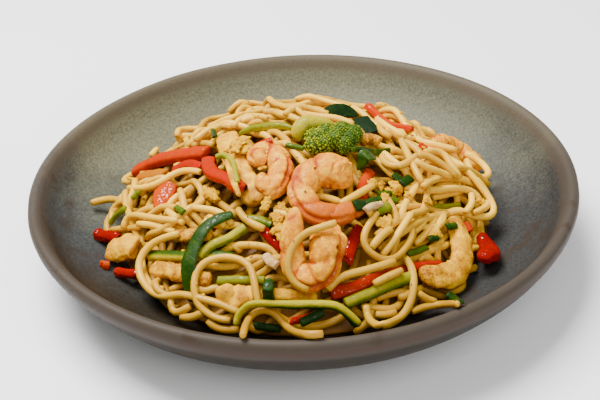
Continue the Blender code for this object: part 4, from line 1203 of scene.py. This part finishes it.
def makeOnionFinish():
    mix = onionColours
    onion = Finish("softOnion", {"Roughness": 0.3, "Subsurface Weight": 0.25, "Subsurface Scale": 0.003,
                                 "Subsurface Radius": (1.0, 0.8, 0.6)})
    cloud = onion.grain(4 * mm, 3.0)
    onion.wear("Base Color", onion.blend(cloud.above(0.35, 0.65), mix["pale"], mix["soft"]))
    onion.wear("Coat Weight", cloud.above(0.5, 0.6) * 0.4)
    onion.relief(cloud, 0.0002)
    return onion


# Egg: crinkled scraps, each a few lumps grown together

eggShapes = {
    "egg_on_chicken": {"turn": 20.0, "seed": 11},
    "egg_left": {"turn": -50.0, "seed": 12},
    "egg_centre": {"turn": 70.0, "seed": 13},
    "egg_low": {"turn": 40.0, "seed": 14},
    "egg_right": {"turn": 10.0, "seed": 15},
}


def crinkledLump(centre, axes, sizes, seed):
    shape = bmesh.new()
    bmesh.ops.create_icosphere(shape, subdivisions=3, radius=1.0)
    start = Vector((seed * 3.7, seed * 1.9, 0.0))
    points, folds = [], []
    for corner in shape.verts:
        spot = corner.co
        crease = (abs(noise.noise(spot * 1.3 + start)) * 1.1
                  + abs(noise.noise(spot * 2.7 + start)) * 0.4)
        reach = 0.62 + crease
        folds.append(crease)
        points.append(centre + sum((axes[k] * (spot[k] * sizes[k] * reach) for k in range(3)), Vector()))
    faces = [tuple(v.index for v in face.verts) for face in shape.faces]
    shape.free()
    return points, faces, folds


def eggScrap(centre, spans, turn, seed, lumpCount):
    normal = heapNormal(centre.x, centre.y)
    ahead = Vector((math.cos(turn), math.sin(turn), 0.0))
    ahead = (ahead - normal * ahead.dot(normal)).normalized()
    axes = (ahead, normal.cross(ahead), normal)
    chance = random.Random(seed)
    points, faces, folds = [], [], []
    for k in range(lumpCount):
        along = (k - 0.5 * (lumpCount - 1)) / (0.5 * lumpCount)
        aside = chance.uniform(-0.25, 0.25) * spans[1]
        spot = centre + axes[0] * (along * spans[0] * 0.6) + axes[1] * aside
        sizes = [spans[0] * chance.uniform(0.4, 0.65), spans[1] * chance.uniform(0.5, 0.9),
                 spans[1] * chance.uniform(0.15, 0.5)]
        lumpPoints, lumpFaces, lumpFolds = crinkledLump(spot, axes, sizes, seed * 9 + k)
        start = len(points)
        points.extend(lumpPoints)
        folds.extend(lumpFolds)
        faces.extend(tuple(start + corner for corner in face) for face in lumpFaces)
    return points, faces, folds


def makeEgg(name, spec, finish):
    low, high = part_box(name)
    centre = 0.5 * (Vector(low) + Vector(high))
    span = 0.5 * max(high[0] - low[0], high[1] - low[1])
    turn = math.radians(spec["turn"])
    points, faces, folds = eggScrap(centre, (span, 0.62 * span), turn, spec["seed"], 5)
    points = np.array(points)
    points += np.array(centre) - 0.5 * (points.min(axis=0) + points.max(axis=0))
    piece = makePiece(name + "Look", points, faces, finish, {"folds": folds})
    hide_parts(name)


eggColours = {"pale": (0.7, 0.375, 0.0), "body": (0.55, 0.24, 0.0), "brown": (0.27, 0.085, 0.0)}


def makeEggFinish():
    mix = eggColours
    egg = Finish("scrambledEgg", {"Subsurface Weight": 0.1, "Subsurface Scale": 0.002,
                                  "Subsurface Radius": (1.0, 0.6, 0.1), "Specular IOR Level": 0.0})
    cloud = egg.grain(2.4 * mm, 4.0)
    fine = egg.grain(0.8 * mm, 4.0)
    base = egg.blend(cloud.above(0.35, 0.65), mix["pale"], mix["body"])
    # darker brown in the dents of each lump
    creased = (0.34 - egg.stored("folds") + (fine - 0.5) * 0.3).above(0.0, 0.3)
    base = egg.blend(creased * 0.8, base, mix["brown"])
    egg.wear("Base Color", base)
    egg.wear("Roughness", 0.4 + fine * 0.3)
    egg.wear("Coat Weight", fine.above(0.6, 0.66) * 0.4)
    egg.relief(fine, 0.0002)
    return egg


# Broccoli: a floret lying on its side, stem to the left, with a crown of small buds; sizes in millimetres

broccoliShape = {
    "knobs": 13,
    "knobRadius": 4.1,
    "budsPerKnob": 150,
    "bud": 0.48,
    "stem": [(-12.8, 1, 2.9), (-12.8, 4, 7), (-9.5, 6.5, 9.3), (-3.1, 7, 8.7), (4.3, 7, 7.3)],
    "stemWidths": (7.0, 8.4, 8.4, 6.6, 5.0),
}


def makeBroccoli(budFinish, stemFinish):
    low, high = (Vector(corner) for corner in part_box("broccoli"))
    chance = random.Random(5)
    knobs = []
    for k in range(broccoliShape["knobs"]):
        turn = k * 2.4
        reach = 2.5 + 8.2 * math.sqrt(k / broccoliShape["knobs"])
        radius = broccoliShape["knobRadius"] + chance.uniform(-0.6, 0.6)
        across = 3.2 + 1.08 * reach * math.cos(turn)
        knobs.append((Vector((across, -3.2 + 0.66 * reach * math.sin(turn) + 0.08 * across,
                              9.0 - 0.035 * reach * reach)), radius))
    crownHigh = max(spot.x + radius for spot, radius in knobs)
    crownTop = max(spot.z + radius for spot, radius in knobs)
    base = Vector((high.x / mm - crownHigh, -5.0, high.z / mm - crownTop))
    points, faces, shade = [], [], []

    def addBall(centre, radius, detail, tone):
        ball = bmesh.new()
        bmesh.ops.create_icosphere(ball, subdivisions=detail, radius=radius)
        start = len(points)
        for corner in ball.verts:
            uneven = 1.0 + 0.12 * noise.noise(centre * 3.1 + corner.co * 2.0)
            points.append((centre + corner.co * uneven) * mm)
            shade.append(tone)
        faces.extend(tuple(start + v.index for v in face.verts) for face in ball.faces)
        ball.free()

    # painted shade: the knobs under the buds are a darker green, which shows as shade between the buds
    for spot, radius in knobs:
        addBall(base + spot, radius - 0.15, 3, 0.85)
    for spot, radius in knobs:
        for k in range(broccoliShape["budsPerKnob"]):
            height = 1.0 - 2.0 * (k + 0.5) / broccoliShape["budsPerKnob"]
            ring = math.sqrt(1.0 - height * height)
            turn = k * 2.39996 + chance.uniform(-0.25, 0.25)
            out = Vector((ring * math.cos(turn), ring * math.sin(turn), height))
            bud = spot + out * (radius - 0.1 + chance.uniform(-0.12, 0.25))
            inside = any((bud - other).length < size - 0.2 for other, size in knobs if other != spot)
            if bud.z < 1.5 or inside:
                continue
            # buds sunk deeper into their knob come out a touch darker, as painted shade
            rightward = min(1.0, max(0.0, (bud.x + 8.0) / 24.0))
            addBall(base + bud, broccoliShape["bud"] * chance.uniform(0.7, 1.35), 1,
                    0.2 + 0.42 * rightward + chance.uniform(-0.18, 0.18)
                    + 0.03 * (radius - (bud - spot).length))
    piece = makePiece("broccoliLook", points, faces, budFinish, {"shade": shade})
    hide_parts("broccoli")
    print("broccoli", len(faces), "triangles")
    stem = np.array([base + Vector(spot) for spot in broccoliShape["stem"]]) * mm
    path = smoothCurve(stem, 40)

    def outline(share, turns):
        half = 0.5 * widthAt(share, broccoliShape["stemWidths"]) * mm * roundedEnd(share, 0.2)
        reach = half * (1.0 + 0.08 * lumps(31, share * 20.0, turns, 3.0, 3.0)
                        + 0.03 * lumps(32, share * 20.0, turns, 3.0, 0.8, 8.0))
        # painted shade: the stem is darker on the right-hand side of its route, its front, and paler on the
        # other; it also darkens a little towards the crown
        return reach * np.cos(turns), reach * 0.86 * np.sin(turns), {
            "shade": 0.2 + 0.08 * np.cos(turns) + 0.06 * share}
    stemPoints, stored = ringsAlong(path, {}, outline, 28)
    makePiece("broccoliStem", stemPoints, tubeFaces(40, 28, 0), stemFinish, stored)


budColours = [(0.0, (0.4, 0.38, 0.008)), (0.3, (0.2, 0.24, 0.004)), (0.6, (0.075, 0.14, 0.004)),
              (1.0, (0.012, 0.042, 0.003))]


def makeBudFinish():
    bud = Finish("broccoliBuds", {"Specular IOR Level": 0.15})
    shade = bud.stored("shade")
    fine = bud.grain(0.9 * mm, 3.0)
    toned = (shade + (fine - 0.5) * 0.3 + (bud.grain(5 * mm) - 0.5) * 0.5).clamped()
    bud.wear("Base Color", bud.add("ShaderNodeValToRGB", {"stops": budColours}, {"Fac": toned}))
    bud.wear("Roughness", 0.5 + fine * 0.2)
    bud.relief(fine, 0.0002)
    return bud


def makeToppings(finishes):
    for name, spec in prawnShapes.items():
        followNode(name, spec, prawnOutline(spec), finishes["prawn"], 110, 48)
    print("prawns", len(prawnShapes))
    for name, spec in chickenShapes.items():
        followNode(name, spec, stripeOutline(spec), finishes["chicken"], 96, 44)
    print("chicken", len(chickenShapes))
    for k, (name, spec) in enumerate(pepperShapes.items()):
        outline = cutOutline({"square": 6.5, **spec}, 40 + k)
        followNode(name, spec, outline, finishes["pepper"], 72, 36)
    print("peppers", len(pepperShapes))
    for k, (name, spec) in enumerate(greenShapes.items()):
        followNode(name, spec, cutOutline(spec, 70 + k), finishes["green"])
    for k, (name, spec) in enumerate(onionShapes.items()):
        followNode(name, spec, cutOutline(spec, 95 + k), finishes["onion"])
    print("greens", len(greenShapes) + len(onionShapes))
    for name, spec in eggShapes.items():
        makeEgg(name, spec, finishes["egg"])
    makeBroccoli(finishes["bud"], finishes["green"])


# Small stuff on top of everything: ground pepper and crumbs of egg

crumbShapes = {
    "pepperSpecks": {"count": 260, "sizes": (0.18, 0.42), "finish": "speck", "slot": "noodle"},
    "eggCrumbs": {"count": 46, "sizes": (0.5, 1.3), "finish": "egg", "slot": "egg"},
}


speckColours = {"black": (0.012, 0.006, 0.003), "brown": (0.09, 0.03, 0.008)}


def makeSpeckFinish():
    dark = Finish("groundPepper", {"Roughness": 0.6})
    dark.wear("Base Color", dark.blend(dark.grain(3 * mm), speckColours["black"], speckColours["brown"]))
    return dark


def makeCrumbs(name, spec, finish, chance):
    points, faces = [], []
    for _ in range(spec["count"]):
        turn = chance.uniform(0, 2 * math.pi)
        reach = heapShape["coreRadius"] * math.sqrt(chance.random())
        i, j = gridIndex(heapShape["centre"][0] + reach * math.cos(turn), reach * math.sin(turn))
        size = chance.uniform(*spec["sizes"]) * mm
        ball = bmesh.new()
        bmesh.ops.create_icosphere(ball, subdivisions=1, radius=size)
        start = len(points)
        squash = Vector((chance.uniform(0.7, 1.6), chance.uniform(0.6, 1.1), chance.uniform(0.4, 0.8)))
        spin = Matrix.Rotation(chance.uniform(0, 6.3), 3, "Z")
        top = max(level[i, j], crown[i, j])
        centre = Vector(((i - half) * cell, (j - half) * cell, top + size * 0.1))
        for corner in ball.verts:
            points.append(centre + spin @ (corner.co * squash) * (1.0 + chance.uniform(-0.25, 0.25)))
        faces.extend(tuple(start + v.index for v in face.verts) for face in ball.faces)
        ball.free()
    makePiece(name, points, faces, finish, {"folds": [0.6] * len(points)})


# Shreds and scraps that stand out in the photograph, by their columns and rows in it; sizes in millimetres
looseShapes = {
    "greenShreds": [
        {"route": [(286, 145), (295, 147), (304, 149)], "width": 2.6, "thick": 1.8, "flesh": 0.62},
        {"route": [(212, 127), (215, 137)], "width": 2.6, "thick": 1.4, "flesh": 0.85},
        {"route": [(394, 174), (400, 181)], "width": 4.0, "thick": 1.2, "flesh": 0.85},
        {"route": [(401, 184), (411, 178)], "width": 4.5, "thick": 1.4, "flesh": 0.9},
        {"route": [(140, 191), (132, 199)], "width": 3.0, "thick": 1.8, "flesh": 0.5},
        {"route": [(126, 208), (117, 215), (110, 224)], "width": 3.5, "thick": 2.0, "flesh": 0.5},
        {"route": [(176, 207), (184, 213)], "width": 3.0, "thick": 1.6, "flesh": 0.6},
        {"route": [(448, 294), (460, 303)], "width": 4.0, "thick": 1.8, "flesh": 0.85},
        {"route": [(300, 324), (312, 318), (324, 312)], "width": 4.0, "thick": 1.8, "flesh": 0.85},
        {"route": [(377, 211), (390, 206)], "width": 4.5, "thick": 2.0, "flesh": 0.4, "skin": 0.5},
        {"route": [(364, 209), (371, 202), (381, 199)], "width": 3.5, "thick": 1.6, "flesh": 0.8},
        {"route": [(378, 194), (391, 193)], "width": 2.6, "thick": 1.6, "flesh": 0.7},
        {"route": [(391, 198), (398, 202)], "width": 3.0, "thick": 1.6, "flesh": 0.6},
        {"route": [(447, 227), (456, 226)], "width": 3.5, "thick": 1.8, "flesh": 0.75},
        {"route": [(429, 239), (438, 238)], "width": 3.0, "thick": 1.6, "flesh": 0.85},
    ],
    "redShreds": [
        {"route": [(102, 265), (109, 266)], "width": 3.5, "thick": 3.0, "orange": 0.8},
        {"route": [(420, 145), (426, 150)], "width": 3.4, "thick": 2.4, "orange": 0.3},
        {"route": [(466, 223), (470, 232)], "width": 3.2, "thick": 2.4, "orange": 0.5},
    ],
    "brownedFlakes": [
        {"route": [(360, 142), (370, 139), (380, 143)], "widths": (5, 7, 6), "thick": 4.0,
         "gold": (0.8, 0.9, 0.7)},
        {"route": [(226, 160), (232, 178), (240, 197)], "widths": (2, 3, 2), "thick": 2.0,
         "gold": (0.3, 0.4, 0.6)},
    ],
}
# columns, rows, widths and heights of scraps of egg, in pixels of the photograph
scrapPlaces = [
    (223, 152, 9, 10), (236, 147, 11, 16), (245, 150, 10, 11), (262, 168, 8, 4), (280, 208, 10, 9),
    (289, 211, 6, 5), (277, 219, 11, 12), (286, 225, 6, 7), (282, 234, 9, 12), (372, 184, 10, 10),
    (382, 186, 8, 12), (396, 187, 15, 15), (408, 196, 7, 7), (428, 201, 10, 8), (385, 223, 16, 12),
    (385, 200, 8, 12), (437, 234, 10, 9), (481, 202, 11, 9), (412, 135, 4, 3),
]


def makeLoose(name, finish):
    points, faces, stored = [], [], {}
    for k, bit in enumerate(looseShapes[name]):
        path = settle(bit["route"], 26, 0.4 * bit["thick"] * mm, True, True)
        spec = {**bit, "path": [(x / mm, y / mm) for x, y, z in path[::5]], "seed": 120 + k}
        outline = stripeOutline(spec) if "widths" in spec else cutOutline(spec, spec["seed"])
        bitPoints, bitStored = ringsAlong(path, spec, outline, 20)
        faces.extend(tubeFaces(len(path), 20, len(points)))
        points.extend(bitPoints)
        for key, values in bitStored.items():
            stored.setdefault(key, []).extend(values)
    makePiece(name, points, faces, finish, stored)
    print(name, len(looseShapes[name]))


def makeScraps(finish):
    points, faces, folds = [], [], []
    for k, (column, row, wide, tall) in enumerate(scrapPlaces):
        ends = [(column - 0.2 * wide, row), (column + 0.2 * wide, row)]
        x, y, z = settle(ends, 5, 0.06 * min(wide, tall) * mm, True, True)[2]
        spans = [size / view["pixelsPerMm"] * 0.66 * mm for size in (max(wide, tall), min(wide, tall))]
        turn = 0.3 if wide > tall else 1.4
        scrapPoints, scrapFaces, scrapFolds = eggScrap(Vector((x, y, z)), spans, turn, 60 + k, 3)
        start = len(points)
        points.extend(scrapPoints)
        folds.extend(scrapFolds)
        faces.extend(tuple(start + corner for corner in face) for face in scrapFaces)
    makePiece("eggScraps", points, faces, finish, {"folds": folds})
    print("egg scraps", len(scrapPlaces), len(faces), "triangles")


def makeSmallStuff(finishes):
    chance = random.Random(19)
    makeScraps(finishes["egg"])
    makeLoose("greenShreds", finishes["green"])
    makeLoose("redShreds", finishes["pepper"])
    makeLoose("brownedFlakes", finishes["chicken"])
    for name, spec in crumbShapes.items():
        makeCrumbs(name, spec, finishes[spec["finish"]], chance)


# Light and floor

studio = {
    "lamps": {"keyLight": ((-0.35, 0.25, 1.1), 0.7, 44.0), "fillLight": ((0.35, -0.7, 0.7), 0.9, 8.0)},
    "world": 0.4,
    "floor": (0.93, 0.93, 0.93),
}


def makeStudio():
    bpy.ops.mesh.primitive_plane_add(size=6.0, location=(0, 0, 0))
    floor = bpy.context.object
    floor.name = "paleFloor"
    paint = Finish("palePaint", {"Roughness": 0.8})
    paint.wear("Base Color", (*studio["floor"], 1.0))
    floor.data.materials.append(paint.material)
    for name, (spot, size, power) in studio["lamps"].items():
        bpy.ops.object.light_add(type="AREA", location=spot)
        lamp = bpy.context.object
        lamp.name = name
        lamp.data.size = size
        lamp.data.energy = power
        lamp.rotation_euler = (-Vector(spot)).to_track_quat("-Z", "Y").to_euler()
    world = bpy.data.worlds.new("softRoom")
    world.use_nodes = True
    world.node_tree.nodes["Background"].inputs["Color"].default_value = (1.0, 1.0, 1.0, 1.0)
    world.node_tree.nodes["Background"].inputs["Strength"].default_value = studio["world"]
    bpy.context.scene.world = world
    bpy.ops.object.select_all(action="DESELECT")


makeCamera()
makeStudio()
makeBowl(makeGlaze())
makeNoodles(makeNoodleFinish())
finishes = {
    "prawn": makePrawnFinish(),
    "chicken": makeChickenFinish(),
    "pepper": makePepperFinish(),
    "green": makeGreenFinish(),
    "onion": makeOnionFinish(),
    "egg": makeEggFinish(),
    "bud": makeBudFinish(),
    "speck": makeSpeckFinish(),
}
makeToppings(finishes)
makeSmallStuff(finishes)
